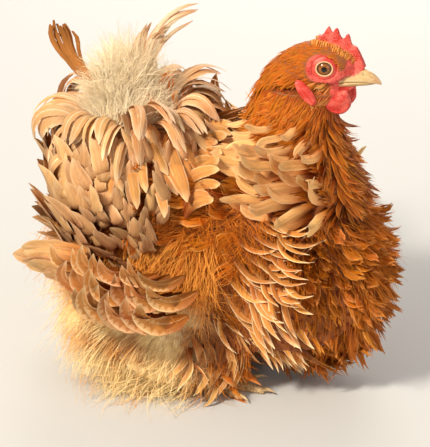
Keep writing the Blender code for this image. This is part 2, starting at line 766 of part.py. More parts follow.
def lobe_disc(name, spec, sign, grow=0.0):
    """A flat rounded lobe of skin: a wattle or an ear lobe."""
    centre, half, roll, pitch = spec
    turn = Matrix.Rotation(math.radians(roll * sign), 3, "X") @ Matrix.Rotation(math.radians(pitch), 3, "Y")
    return ellipsoid(name, mirrored(centre, sign), half, turn, LOBE_SEGMENTS, LOBE_RINGS, grow)


def wing_core(name, sign, grow=0.0):
    centre, turn = wing_frame(sign)
    return ellipsoid(name, centre, WING_HALF, turn, 16, 9, grow)


def thigh_core(name, sign, grow=0.0):
    return ellipsoid(name, mirrored(THIGH_CENTRE, sign), THIGH_HALF, None, 16, 10, grow)


def tail_core(name):
    axis = TAIL_TIP - TAIL_BASE
    wide, narrow = TAIL_RADII
    shares = (-0.35, 0.0, 0.55, 1.0, 1.18)
    points = [TAIL_BASE + axis * share for share in shares]
    return tube(name, points, (wide, wide, (wide + narrow) / 2, narrow, 0.45 * narrow), 14)


def toe_path(sign, angle, length):
    """Where a toe runs, from the shank to its tip, and its heading."""
    a = math.radians(angle) * sign
    ray = Vector((math.cos(a), math.sin(a), 0))
    start = Vector((FOOT_X, sign * FOOT_Y, TOE_RADIUS - SOLE))
    return [start, start + ray * length * 0.55, start + ray * length], ray


def box(name, low, high):
    corners = [(x, y, z) for x in (low[0], high[0]) for y in (low[1], high[1]) for z in (low[2], high[2])]
    faces = [(0, 1, 3, 2), (4, 6, 7, 5), (0, 4, 5, 1), (2, 3, 7, 6), (0, 2, 6, 4), (1, 5, 7, 3)]
    obj = new_object(name, corners, faces)
    outward(obj)
    return obj


def foot_core(name, sign, grow=0.0):
    """Shank and toes, fused, with their undersides flat on the floor."""
    top = Vector((FOOT_X - 0.004, sign * FOOT_Y, SHANK_TOP))
    bottom = Vector((FOOT_X, sign * FOOT_Y, 1 * MM))
    foot = tube(name, [bottom, top], (SHANK_RADIUS, SHANK_RADIUS), 12, 1.0, grow)
    toes = []
    for number, (angle, length) in enumerate(zip(TOE_ANGLES, TOE_LENGTHS)):
        path, _ = toe_path(sign, angle, length)
        radii = (TOE_RADIUS, TOE_RADIUS, 0.72 * TOE_RADIUS)
        toes.append(tube(f"toe_{number}", path, radii, 10, 1.0, grow))
    boolean(foot, toes, "UNION")
    if not grow:
        low = (FOOT_X - 0.1, sign * FOOT_Y - 0.1, -0.05)
        high = (FOOT_X + 0.1, sign * FOOT_Y + 0.1, 0.0)
        boolean(foot, [box("floor", low, high)], "DIFFERENCE")
    keep_largest(foot)
    return foot


def claw(name, sign, number):
    path, ray = toe_path(sign, TOE_ANGLES[number], TOE_LENGTHS[number])
    start = path[-1] - ray * 0.5 * MM + Vector((0, 0, 0.6 * MM))
    points = [start, start + ray * CLAW_LENGTH * 0.5 + Vector((0, 0, 0.5 * MM)),
              start + ray * CLAW_LENGTH + Vector((0, 0, -0.9 * MM))]
    return tube(name, points, (CLAW_RADIUS, 0.75 * CLAW_RADIUS, 0.2 * CLAW_RADIUS), 8)


def build_head(nodes):
    """Head, eyes, bills, comb, wattles and ear lobes, each cut clear of what it grows from."""
    head = nodes["head"] = head_core("head")
    boolean(head, [lid_ring(f"lid_{side}", sign) for side, sign in SIDES], "UNION")
    for side, sign in SIDES:
        nodes[f"eye_{side}"] = eyeball(f"eye_{side}", sign)
    cut(head, *[eyeball("socket", sign, GAP) for _, sign in SIDES], mouth_slit("mouth"))
    for name, upper in (("upper_bill", True), ("lower_bill", False)):
        nodes[name] = bill(name, upper)
        cut(nodes[name], head_core("grown", GAP))
    cut(nodes["lower_bill"], bill("grown_bill", True, 1.2 * GAP))
    cut(nodes["upper_bill"], *[nostril("slit", sign) for _, sign in SIDES])
    nodes["comb"] = comb_blade("comb")
    cut(nodes["comb"], head_core("grown", GAP), bill("grown_bill", True, GAP))
    for side, sign in SIDES:
        for name, spec in (("wattle", WATTLE), ("ear_lobe", EAR_LOBE)):
            lobe = nodes[f"{name}_{side}"] = lobe_disc(f"{name}_{side}", spec, sign)
            cut(lobe, head_core("grown", GAP))
    for side, sign in SIDES:
        cut(nodes[f"wattle_{side}"], bill("grown_bill", False, GAP))


def build_body(nodes):
    """Trunk, neck, tail, wings, thighs and feet as plain cores, each cut clear of its neighbour."""
    nodes["torso"] = trunk_core("torso")
    nodes["neck"] = neck_core("neck")
    cut(nodes["neck"], trunk_core("grown", GAP), head_core("grown_head", GAP),
        *[lobe_disc("grown_lobe", spec, sign, GAP) for _, sign in SIDES for spec in (EAR_LOBE, WATTLE)])
    nodes["tail"] = tail_core("tail")
    cut(nodes["tail"], trunk_core("grown", GAP))
    for side, sign in SIDES:
        wing = nodes[f"wing_{side}"] = wing_core(f"wing_{side}", sign)
        cut(wing, trunk_core("grown", GAP))
        thigh = nodes[f"thigh_{side}"] = thigh_core(f"thigh_{side}", sign)
        cut(thigh, trunk_core("grown", GAP), wing_core("grown_wing", sign, GAP))
        foot = nodes[f"foot_{side}"] = foot_core(f"foot_{side}", sign)
        cut(foot, thigh_core("grown", sign, GAP), trunk_core("grown_trunk", GAP))
        for number in range(len(TOE_ANGLES)):
            name = f"claw_{side}_{number + 1}"
            nodes[name] = claw(name, sign, number)
            cut(nodes[name], foot_core("grown", sign, GAP))


def feather_nodes(nodes):
    """Adds the vanes of each node, clear of every other node as it stands by then."""
    fields = [(f"wing_{side}", wing_feathers(sign)) for side, sign in SIDES]
    fields += [("tail", tail_feathers()), ("neck", hackle())]
    fields.append(("torso", saddle() + shoulders() + breast() + abdomen()))
    fields += [(f"thigh_{side}", thigh_down(sign)) for side, sign in SIDES]
    fields += [(f"foot_{side}", foot_feathers(sign)) for side, sign in SIDES]
    trees = {name: tree_of(node) for name, node in nodes.items()}
    for name, plumes in fields:
        others = [tree for other, tree in trees.items() if other != name]
        dress(nodes[name], plumes, others)
        trees[name] = tree_of(nodes[name])


def paint(nodes):
    """One material for each finish, given to the nodes that share it."""
    flesh = material("red skin", (0.62, 0.06, 0.06), 0.45)
    finishes = {
        "head": material("head feathers", (0.60, 0.24, 0.07), 0.75),
        "neck": material("hackle feathers", (0.66, 0.29, 0.09), 0.7),
        "torso": material("body feathers", (0.62, 0.30, 0.11), 0.75),
        "tail": material("tail feathers", (0.72, 0.50, 0.28), 0.75),
        "wing": material("wing feathers", (0.55, 0.22, 0.06), 0.7),
        "thigh": material("down", (0.82, 0.58, 0.30), 0.9),
        "foot": material("foot scales and feathers", (0.72, 0.42, 0.16), 0.65),
        "claw": material("claw horn", (0.62, 0.50, 0.32), 0.4),
        "upper": material("bill horn", (0.72, 0.48, 0.20), 0.4),
        "eye": material("eye", (0.45, 0.15, 0.03), 0.08),
    }
    finishes["lower"] = finishes["upper"]
    for name, node in nodes.items():
        finish(node, finishes.get(name.split("_")[0], flesh))


def centre_on_floor(nodes):
    """Shifts every node so that the middle of the whole lies over the origin."""
    corners = [v.co for node in nodes.values() for v in node.data.vertices]
    shift = Vector([-(min(c[i] for c in corners) + max(c[i] for c in corners)) / 2 for i in (0, 1)] + [0])
    for node in nodes.values():
        node.data.transform(Matrix.Translation(shift))


def main():
    clear_scene()
    nodes = {}
    build_head(nodes)
    build_body(nodes)
    feather_nodes(nodes)
    paint(nodes)
    centre_on_floor(nodes)


main()
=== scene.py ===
"""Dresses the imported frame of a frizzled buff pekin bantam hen: skin, plumage and bare parts.

Metres, +Z up. The hen looks along +X and its left side is +Y. Every place below is written in the
hen's own frame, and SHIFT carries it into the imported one.
"""

import itertools
import math

import bmesh
import bpy
import numpy as np
from bpy.props import FloatProperty, FloatVectorProperty, IntProperty, PointerProperty
from mathutils import Matrix, Vector, noise


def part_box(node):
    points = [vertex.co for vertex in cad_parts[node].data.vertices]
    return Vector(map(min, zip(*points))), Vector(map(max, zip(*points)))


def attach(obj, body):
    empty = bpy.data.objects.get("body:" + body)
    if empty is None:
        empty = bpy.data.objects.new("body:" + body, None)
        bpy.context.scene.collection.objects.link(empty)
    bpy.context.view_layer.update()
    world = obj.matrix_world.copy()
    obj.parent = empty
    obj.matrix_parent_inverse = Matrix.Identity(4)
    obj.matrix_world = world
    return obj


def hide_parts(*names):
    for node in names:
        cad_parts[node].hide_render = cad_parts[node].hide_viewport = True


bl_info = {
    "name": "Frizzled bantam hen",
    "version": (1, 0, 0),
    "blender": (4, 5, 0),
    "location": "3D View > Sidebar > Hen",
    "description": "Dresses the packed frame of a frizzled buff bantam hen",
    "category": "Object",
}

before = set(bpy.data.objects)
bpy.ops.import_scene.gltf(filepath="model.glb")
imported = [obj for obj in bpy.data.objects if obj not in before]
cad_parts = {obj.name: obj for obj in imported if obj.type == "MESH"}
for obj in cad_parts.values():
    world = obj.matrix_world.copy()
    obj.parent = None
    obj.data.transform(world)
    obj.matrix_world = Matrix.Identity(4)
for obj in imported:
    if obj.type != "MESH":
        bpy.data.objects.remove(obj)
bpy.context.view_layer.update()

MM = 0.001
WELD = 0.02 * MM  # points closer than this are merged
TRIES = 7  # random points tried for each that an even spread has room for
SIDES = (("left", 1), ("right", -1))
UP = np.array((0.0, 0.0, 1.0))

BODY_PARTS = ("trunk", "thigh", "wing", "tail", "neck")

# Flesh and close plumage, as centres and half-axes of ellipsoids.
TRUNK_CENTRE = np.array((0.0, 0.0, 0.092))
TRUNK_MASSES = (
    ((0.052, 0.0, 0.079), (0.056, 0.064, 0.056)),
    ((0.004, 0.0, 0.092), (0.070, 0.064, 0.062)),
    ((-0.042, 0.0, 0.122), (0.051, 0.063, 0.050)),
    ((-0.030, 0.0, 0.064), (0.049, 0.056, 0.046)),
)
THIGH = ((-0.006, 0.052, 0.047), (0.050, 0.034, 0.039))
THIGH_FRONT = -0.004  # the flank's feathers hang over the thigh ahead of this, its down shows behind
# Rear edge of the flank's feathers: height and place along X.
FLANK_EDGE = np.array(((0.030, -0.004), (0.060, 0.004), (0.100, 0.018), (0.126, 0.027)))
WING_CENTRE, WING_HALF = np.array((-0.022, 0.068, 0.104)), np.array((0.052, 0.013, 0.028))
WING_DROOP = math.radians(12)
HEAD_MASSES = (
    ((0.0605, 0.0, 0.2112), (0.0210, 0.0138, 0.0176)),  # skull
    ((0.0485, 0.0, 0.2020), (0.0185, 0.0150, 0.0175)),  # nape
    ((0.0640, 0.0, 0.2040), (0.0190, 0.0125, 0.0120)),  # cheeks
    ((0.0770, 0.0, 0.2082), (0.0130, 0.0074, 0.0085)),  # face, towards the bill
    ((0.0700, 0.0, 0.2180), (0.0150, 0.0120, 0.0090)),  # brows
)
# Neck: height, place along X, half-width along X and along Y.
NECK_RINGS = np.array((
    (0.104, 0.0520, 0.0300, 0.0320), (0.134, 0.0540, 0.0380, 0.0390), (0.154, 0.0530, 0.0315, 0.0310),
    (0.174, 0.0505, 0.0275, 0.0240), (0.190, 0.0490, 0.0250, 0.0195), (0.201, 0.0500, 0.0205, 0.0155),
    (0.216, 0.0560, 0.0090, 0.0070),
))
NECK_CENTRE = np.array((0.053, 0.0, 0.165))
TAIL_BASE, TAIL_TIP = np.array((-0.050, 0.0, 0.146)), np.array((-0.059, 0.0, 0.179))
TAIL_RADII = (0.034, 0.017)
CUSHION_CENTRE = np.array((-0.046, 0.0, 0.118))
SADDLE_AXIS = np.array((-0.20, 0.0, 1.0)) / math.hypot(0.20, 1.0)
COAT_DEPTH = 2.0 * MM  # the skin lies this far inside the cores
BODY_SOFT, HEAD_SOFT, JOIN_SOFT = 4 * MM, 1.5 * MM, 3 * MM  # how softly the masses run into each other

EYE_CENTRE = np.array((0.0698, 0.0088, 0.2162))
EYE_RADIUS = 5.3 * MM
EYE_AXIS = np.array((0.22, 1.0, 0.10)) / math.sqrt(0.22**2 + 1.0 + 0.10**2)
PUPIL_RADIUS, IRIS_RADIUS = 1.75 * MM, 4.1 * MM

GAPE_X, BILL_TIP_X = 0.0775, 0.1025
GAPE_Z, BILL_TIP_Z = 0.2052, 0.2068
BILL_HALF_WIDTH = 5.8 * MM
UPPER_BILL_DEPTH, LOWER_BILL_DEPTH = 9.0 * MM, 4.2 * MM
NOSTRIL = np.array((0.0912, 0.0038, 0.2118))

# Wattle and ear lobe: centre, half-axes, roll and pitch in degrees.
WATTLE = ((0.0775, 0.0066, 0.1942), (0.0080, 0.0019, 0.0082), -14, 12)
EAR_LOBE = ((0.0602, 0.0148, 0.2010), (0.0034, 0.0022, 0.0090), -8, -36)

FOOT_X, FOOT_Y = 0.008, 0.030
SHANK_RADIUS, SHANK_TOP = 5.0 * MM, 0.030
TOE_RADIUS, SOLE = 3.0 * MM, 0.9 * MM
TOE_ANGLES = (-24, 4, 32, 172)
TOE_LENGTHS = (0.027, 0.034, 0.026, 0.014)
CLAW_LENGTH, CLAW_RADIUS = 8 * MM, 1.7 * MM
FLOOR = 0.3 * MM  # nothing but the soles lies lower

# The camera's view of the photograph.
AZIMUTH, ELEVATION, DISTANCE = math.radians(17), math.radians(28), 1.5
VIEW_CENTRE = Vector((0.0, 0.0, 0.097))
PHOTO_HEIGHT = 447
METRES_PER_PIXEL = 0.62 * MM
SENSOR = 36.0  # width in millimetres

low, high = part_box("eye_left")
SHIFT = np.array((low + high) / 2) - EYE_CENTRE


class HenSettings(bpy.types.PropertyGroup):
    """Sizes and colours of the dressed hen."""

    seed: IntProperty(name="Seed", description="Start of every random draw",
                      default=7, min=0, subtype="UNSIGNED")
    density: FloatProperty(name="Density", description="Share of the full number of feathers",
                           default=1.0, min=0.2, max=1.5, subtype="FACTOR")
    vane_thickness: FloatProperty(name="Vane thickness", description="Thickness of a feather at its shaft",
                                  default=0.32 * MM, unit="LENGTH")
    strand_width: FloatProperty(name="Strand width", description="Width of one strand of down",
                                default=0.46 * MM, unit="LENGTH")
    skin_cell: FloatProperty(name="Skin cell", description="Size of the faces of the skin",
                             default=2.6 * MM, unit="LENGTH")
    # Rust is deeper than the orange down: painted shade on the skin between the feathers.
    rust: FloatVectorProperty(name="Rust", description="Deep colour between the feathers",
                              subtype="COLOR", default=(0.300, 0.082, 0.014))
    cream: FloatVectorProperty(name="Cream", description="Colour of pale down and feather edges",
                               subtype="COLOR", default=(1.000, 0.760, 0.380))
    ash: FloatVectorProperty(name="Ash", description="Colour of the down round the tail",
                             subtype="COLOR", default=(0.890, 0.760, 0.540))
    flesh: FloatVectorProperty(name="Flesh", description="Colour of comb, face and wattles",
                               subtype="COLOR", default=(0.760, 0.050, 0.032))
    horn: FloatVectorProperty(name="Horn", description="Colour of bill and claws",
                              subtype="COLOR", default=(0.660, 0.440, 0.190))


def unit(vectors):
    """Vectors brought to length 1."""
    return vectors / np.maximum(np.linalg.norm(vectors, axis=-1, keepdims=True), 1e-12)


def smoothstep(low_end, high_end, values):
    """Smooth rise from 0 at one end to 1 at the other."""
    share = np.clip((values - low_end) / (high_end - low_end), 0.0, 1.0)
    return share * share * (3 - 2 * share)


def mirrored(vector, sign):
    """A place or direction of the left side, on the side of sign."""
    return np.array((vector[0], sign * vector[1], vector[2]))


def columns(*parts):
    """Vectors from their three parts, each a number or an array."""
    return np.stack(np.broadcast_arrays(*parts), axis=-1).astype(float)


def side_of(points):
    """1 for points on the left side, -1 for those on the right."""
    return np.where(points[:, 1] >= 0, 1.0, -1.0)


def folded(points):
    """Points brought over to the left side."""
    return points * (1, 0, 1) + np.abs(points) * (0, 1, 0)


# Shape of the flesh: rough distances to it, below 0 inside.


def soft_union(distances, soft):
    """Distance to several masses that run into each other."""
    total = sum(np.exp(-np.clip(d, -0.05, 0.25) / soft) for d in distances)
    return -soft * np.log(total)


def ellipsoid_distance(points, centre, half):
    """Rough distance to an ellipsoid of a centre and half-axes."""
    half = np.array(half)
    return (np.linalg.norm((points - np.array(centre)) / half, axis=-1) - 1) * half.min()


def neck_distance(points):
    """Rough distance to the stack of the neck's rings."""
    x, y, z = points.T
    place, deep, wide = (np.interp(z, NECK_RINGS[:, 0], NECK_RINGS[:, k]) for k in (1, 2, 3))
    away = np.hypot((x - place) / deep, y / wide)
    side = (away - 1) * np.minimum(deep, wide)
    return np.maximum(side, np.maximum(NECK_RINGS[0, 0] - z, z - NECK_RINGS[-1, 0]))


def tail_distance(points):
    """Rough distance to the tapered stump of the tail."""
    axis = TAIL_TIP - TAIL_BASE
    length = np.linalg.norm(axis)
    along = (points - TAIL_BASE) @ axis / length**2
    radius = np.interp(along, (0, 1), TAIL_RADII)
    away = np.linalg.norm(points - TAIL_BASE - np.outer(np.clip(along, -1, 1.1), axis), axis=-1)
    return away - radius


def parts_of(points):
    """Distance of each point to the trunk, thigh, wing, tail, neck and head."""
    one_side = folded(points)
    cos, sin = math.cos(WING_DROOP), math.sin(WING_DROOP)
    x, y, z = (one_side - WING_CENTRE).T
    arm = np.stack((cos * x + sin * z, y, cos * z - sin * x), axis=-1)
    return {
        "trunk": soft_union([ellipsoid_distance(points, *mass) for mass in TRUNK_MASSES], BODY_SOFT),
        "thigh": ellipsoid_distance(one_side, *THIGH),
        "wing": ellipsoid_distance(arm, (0, 0, 0), WING_HALF),
        "tail": tail_distance(points),
        "neck": neck_distance(points),
        "head": soft_union([ellipsoid_distance(points, *mass) for mass in HEAD_MASSES], HEAD_SOFT),
    }


def skin_distance(points):
    """Rough distance to the skin, which lies inside the cores but meets them at the face."""
    parts = parts_of(points)
    body = soft_union([parts[name] + COAT_DEPTH for name in BODY_PARTS], BODY_SOFT)
    head = parts["head"] + COAT_DEPTH * smoothstep(0.068, 0.052, points[..., 0])
    return soft_union([body, head], JOIN_SOFT)


def outward_of(points):
    """Unit slope of the distance to the skin."""
    step = 0.4 * MM
    slope = [skin_distance(points + axis * step) - skin_distance(points - axis * step) for axis in np.eye(3)]
    return unit(np.stack(slope, axis=-1))


def settled(points, rounds=3):
    """Points moved along the slope onto the skin."""
    for _ in range(rounds):
        points = points - outward_of(points) * skin_distance(points)[:, None]
    return points


def bare_face(points):
    """1 where the skin of the face is bare, 0 under feathers."""
    one_side = folded(points)
    eye = ellipsoid_distance(one_side, EYE_CENTRE + (-0.0006, 0.003, -0.0002), (0.0098, 0.0098, 0.0088))
    lores = ellipsoid_distance(one_side, (0.0840, 0.003, 0.2085), (0.0135, 0.0150, 0.0078))
    chin = ellipsoid_distance(one_side, (0.0805, 0.002, 0.2005), (0.0085, 0.0120, 0.0070))
    brow = ellipsoid_distance(one_side, (0.0865, 0.0, 0.2165), (0.0090, 0.0090, 0.0075))
    nearest = np.min((eye, lores, chin, brow), axis=0)
    return smoothstep(0.8 * MM, -0.8 * MM, nearest)


# Meshes from arrays.


def linked(name, data):
    """A new object of the scene."""
    obj = bpy.data.objects.new(name, data)
    bpy.context.scene.collection.objects.link(obj)
    return obj


def written(bm, obj):
    """Writes a bmesh to the mesh of obj and frees it."""
    bm.to_mesh(obj.data)
    bm.free()


def finished(obj, material):
    """Gives obj one finish over smooth faces."""
    obj.data.materials.clear()
    obj.data.materials.append(material)
    obj.data.shade_smooth()


def mesh_object(name, verts, faces, material, uvs=None, values=None):
    """A mesh object at the origin from arrays of points and of faces with as many corners each."""
    mesh = bpy.data.meshes.new(name)
    mesh.vertices.add(len(verts))
    mesh.vertices.foreach_set("co", (verts + SHIFT).astype(np.float32).ravel())
    mesh.loops.add(faces.size)
    mesh.loops.foreach_set("vertex_index", faces.astype(np.int32).ravel())
    mesh.polygons.add(len(faces))
    mesh.polygons.foreach_set("loop_start", np.arange(0, faces.size, faces.shape[1], dtype=np.int32))
    mesh.update(calc_edges=True)
    for layer_name, coordinates in (uvs or {}).items():
        layer = mesh.uv_layers.new(name=layer_name)
        layer.uv.foreach_set("vector", coordinates.astype(np.float32).ravel())
    for value_name, numbers in (values or {}).items():
        attribute = mesh.attributes.new(value_name, "FLOAT", "POINT")
        attribute.data.foreach_set("value", numbers.astype(np.float32))
    mesh.validate()
    mesh.shade_smooth()
    mesh.materials.append(material)
    return linked(name, mesh)


def declare(obj, slot, *nodes):
    """Hands a finished piece to the frame."""
    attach(obj, "root")
    if nodes:
        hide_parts(*nodes)
    return obj


def tube_arrays(rings):
    """Points and faces of a tube through rings of as many points each, drawn together at both ends."""
    rings = np.asarray(rings)
    sides = rings.shape[1]
    ends = [np.repeat(rings[k].mean(axis=0)[None, None], sides, axis=1) for k in (0, -1)]
    rings = np.concatenate((ends[0], rings, ends[1]))
    count = len(rings)
    a = np.arange((count - 1) * sides).reshape(-1, sides)
    b = np.roll(a, -1, axis=1)
    faces = np.stack((a, a + sides, b + sides, b), axis=-1).reshape(-1, 4)
    return rings.reshape(-1, 3), faces


def joined(parts):
    """Points and faces of several pairs of arrays as one pair."""
    verts, faces, start = [], [], 0
    for points, quads in parts:
        verts.append(points)
        faces.append(quads + start)
        start += len(points)
    return np.concatenate(verts), np.concatenate(faces)


def recalculated(obj):
    """Merges doubles and turns every face of obj outward."""
    bm = bmesh.new()
    bm.from_mesh(obj.data)
    bmesh.ops.remove_doubles(bm, verts=bm.verts, dist=WELD)
    bmesh.ops.recalc_face_normals(bm, faces=bm.faces)
    written(bm, obj)
    return obj


def with_modifiers(obj, **kinds):
    """Applies modifiers given as KIND=dict of settings, in order."""
    for kind, settings in kinds.items():
        modifier = obj.modifiers.new(kind.lower(), kind)
        for key, value in settings.items():
            setattr(modifier, key, value)
    graph = bpy.context.evaluated_depsgraph_get()
    mesh = bpy.data.meshes.new_from_object(obj.evaluated_get(graph))
    obj.modifiers.clear()
    old, obj.data = obj.data, mesh
    bpy.data.meshes.remove(old)
    return obj


def local_points(obj):
    """Vertices of obj in the hen's own frame."""
    flat = np.empty(len(obj.data.vertices) * 3, np.float32)
    obj.data.vertices.foreach_get("co", flat)
    return flat.reshape(-1, 3).astype(float) - SHIFT


def set_local_points(obj, points):
    """Moves the vertices of obj to points in the hen's own frame."""
    obj.data.vertices.foreach_set("co", (points + SHIFT).astype(np.float32).ravel())
    obj.data.update()


# Feathers: closed thin vanes in rings of points, many to a mesh.

# Points round a vane or a strand: their place across it, and above or below its middle.
VANE_RING = np.array(((-1.0, 0.0), (-0.42, 1.0), (0.42, 1.0), (1.0, 0.0), (0.42, -1.0), (-0.42, -1.0)))
STRAND_RING = np.array(((-1.0, 0.0), (0.0, 1.0), (1.0, 0.0), (0.0, -1.0)))
# Outlines: shares of the length, and of the full width at each.
OUTLINES = {
    "broad": ((0.0, 0.12, 0.40, 0.72, 0.90, 1.0), (0.22, 0.60, 0.94, 1.0, 0.74, 0.12)),
    "lance": ((0.0, 0.12, 0.40, 0.62, 0.85, 1.0), (0.25, 0.65, 1.00, 0.90, 0.42, 0.03)),
    "strap": ((0.0, 0.15, 0.50, 0.80, 0.94, 1.0), (0.30, 0.75, 1.0, 0.92, 0.60, 0.12)),
    "drop": ((0.0, 0.15, 0.40, 0.62, 0.84, 0.95, 1.0), (0.30, 0.55, 0.86, 1.0, 0.66, 0.34, 0.06)),
    "blade": ((0.0, 0.15, 0.45, 0.75, 0.92, 1.0), (0.30, 0.72, 1.0, 0.90, 0.58, 0.10)),
    "club": ((0.0, 0.35, 0.70, 0.90, 1.0), (0.30, 0.42, 0.85, 1.0, 0.50)),
    "strand": ((0.0, 0.25, 0.70, 1.0), (0.75, 1.0, 0.60, 0.10)),
}
BAKE_PATCH = 0.003  # size of one feather on the unwrap of the body
LOCK_TILT = 0.14  # locks of barbs lie on one another like slats
ROOT_DEPTH = 2 * MM  # how deep a feather is set in the skin
TIP_THINNING = 0.6  # share of its thickness that a feather loses towards the tip
FLOOR_SQUEEZE = 0.01  # what would reach below the floor is laid along it


def field(draw, roots, lie, length, width=1 * MM, rise=0.0, curl=0.0, sweep=0.0, roll=0.0, cup=0.12,
          bend=(0.0, 1.0), outline="broad", wander=1.0, normals=None):
    """The sizes of a group of feathers. Angles are in degrees; wander scales their random part.

    Each feather leaves the skin at rise and turns to curl between the two shares of its length in bend.
    """
    count = len(roots)

    def varied(value, share=0.0, spread=0.0):
        """A size for each feather, off by up to a share of it and up to a spread."""
        scale = draw.uniform(1 - share, 1 + share, count)
        return np.broadcast_to(value, (count,)) * scale + draw.uniform(-spread, spread, count) * wander

    return {
        "root": roots, "normal": outward_of(roots) if normals is None else normals,
        "lie": np.broadcast_to(lie, (count, 3)), "length": varied(length, 0.13), "width": varied(width, 0.15),
        "rise": np.radians(varied(rise, 0.0, 5)), "curl": np.radians(varied(curl, 0.0, 16)),
        "sweep": np.radians(varied(sweep, 0.0, 16)), "roll": np.radians(varied(roll, 0.0, 16)),
        "cup": varied(cup, 0.5), "bend": bend, "tint": draw.uniform(0, 1, count),
        "outline": outline, "bake": unwrapped(roots), "offset": np.zeros(count), "own": 1.0,
    }


def unwrapped(points):
    """Place of each point on an unwrap of the body: turn and tilt about the trunk's or the neck's middle."""
    parts = parts_of(points)
    upper = np.minimum(parts["neck"], parts["head"]) < np.minimum(parts["trunk"], parts["wing"])
    away = unit(points - np.where(upper[:, None], NECK_CENTRE, TRUNK_CENTRE))
    turn = 0.01 + 0.98 * (np.arctan2(away[:, 1], away[:, 0]) / (2 * math.pi) + 0.5)
    tilt = 0.01 + 0.47 * (np.arcsin(np.clip(away[:, 2], -1, 1)) / math.pi + 0.5)
    return np.stack((turn, tilt + 0.5 * upper), axis=-1)


def vane_points(draw, sizes, ring, segments, thickness, rag, wave):
    """Points of every vane, as vane by ring by place round it, with their place along and across it."""
    normal = sizes["normal"]
    lie = unit(sizes["lie"] - normal * np.sum(sizes["lie"] * normal, axis=1, keepdims=True))
    side = np.cross(normal, lie)
    count = len(normal)
    shares = np.arange(segments + 1) / segments
    step = (sizes["length"] / segments)[:, None]
    phase, beat = draw.uniform(0, 2 * math.pi, count), draw.uniform(0.6, 1.4, count)

    def heading(share):
        """The way that each vane runs at a share of its length, and the way that its face looks there."""
        eased = smoothstep(*sizes["bend"], share)
        angle = (sizes["rise"] + (sizes["curl"] - sizes["rise"]) * eased)[:, None]
        turn = (sizes["sweep"] * eased)[:, None]
        flat = lie * np.cos(turn) + side * np.sin(turn)
        return flat * np.cos(angle) + normal * np.sin(angle), normal * np.cos(angle) - flat * np.sin(angle)

    point = sizes["root"] - heading(0.0)[0] * ROOT_DEPTH
    widths = np.interp(shares, *OUTLINES[sizes["outline"]])
    made = np.empty((count, segments + 1, len(ring), 3))
    for k, share in enumerate(shares):
        ahead, face = heading(share)
        across = np.cross(face, ahead)
        roll = (sizes["roll"] * min(3 * share, 1.0))[:, None]
        across, face = (across * np.cos(roll) + face * np.sin(roll),
                        face * np.cos(roll) - across * np.sin(roll))
        sway = wave * sizes["length"] * share * np.sin(phase + beat * 2 * math.pi * share)
        middle = point + across * sway[:, None]
        half = sizes["width"] / 2 * widths[k]
        thick = thickness / 2 * (1 - TIP_THINNING * share)
        for j, (edge, above) in enumerate(ring):
            reach = sizes["own"] * edge * draw.uniform(1 - rag * abs(edge), 1.0, count)
            place = sizes["offset"] * (1 - sizes["own"]) + reach
            drop = half * (sizes["cup"] * place**2 + LOCK_TILT * sizes["own"] * edge * (sizes["own"] < 1))
            made[:, k, j] = middle + across * (half * place)[:, None] + face * (above * thick - drop)[:, None]
        point = point + heading(min(share + 0.5 / segments, 1.0))[0] * step
    below = made[..., 2] < FLOOR
    made[..., 2] = np.where(below, FLOOR + (made[..., 2] - FLOOR) * FLOOR_SQUEEZE, made[..., 2])
    return made, shares


def vane_faces(count, segments, sides):
    """Faces of every vane, and for each whether it lies on the vane's under side."""
    k, j = np.meshgrid(np.arange(segments), np.arange(sides), indexing="ij")
    a, b = (k * sides + j).ravel(), (k * sides + (j + 1) % sides).ravel()
    shell = np.stack((a, a + sides, b + sides, b), axis=-1)
    under = (j.ravel() >= sides // 2).astype(float)
    halves = [(0, 1, 2, 3)] if sides == 4 else [(0, 1, 2, 3), (0, 3, 4, 5)]
    first = np.array(halves)
    last = first[:, ::-1] + segments * sides
    one = np.concatenate((shell, first, last))
    under = np.concatenate((under, np.zeros(2 * len(halves))))
    start = np.arange(count)[:, None, None] * (segments + 1) * sides
    return (one[None] + start).reshape(-1, 4), np.tile(under, count)


def grow(name, material, draw, groups, ring=VANE_RING, segments=8, thickness=0.4 * MM, rag=0.10, wave=0.02):
    """One mesh of every feather in the groups, with the maps that its finish and its baking read."""
    verts, faces, vane, plume, bake = [], [], [], [], []
    start, sides = 0, len(ring)
    across = (ring[:, 0] + 1) / 2
    for sizes in groups:
        count, own = len(sizes["root"]), sizes["own"]
        points, shares = vane_points(draw, sizes, ring, segments, thickness, rag, wave)
        quads, under = vane_faces(count, segments, sides)
        place = np.empty((count, segments + 1, sides, 2))
        place[..., 0] = (sizes["offset"] * (1 - own))[:, None, None] / 2 + own * (across - 0.5) + 0.5
        place[..., 1] = shares[None, :, None]
        place = place.reshape(-1, 2)[quads]
        owner = np.repeat(np.arange(count), len(quads) // count)
        tint = np.empty((len(quads), 4, 2))
        tint[..., 0] = sizes["tint"][owner][:, None]
        tint[..., 1] = under[:, None]
        verts.append(points.reshape(-1, 3))
        faces.append(quads + start)
        start += len(verts[-1])
        vane.append(place)
        plume.append(tint)
        bake.append(sizes["bake"][owner][:, None] + (place - 0.5) * BAKE_PATCH)
    uvs = {"vane": np.concatenate(vane), "plume": np.concatenate(plume), "OFBake": np.concatenate(bake)}
    obj = mesh_object(name, np.concatenate(verts), np.concatenate(faces), material, uvs)
    obj.data.set_sharp_from_angle(angle=math.radians(70))
    return obj


def repeated(sizes, times):
    """A group with each feather in it as many times, and its new length."""
    made = {key: (np.repeat(value, times, axis=0) if isinstance(value, np.ndarray) else value)
            for key, value in sizes.items()}
    return made, len(made["root"])


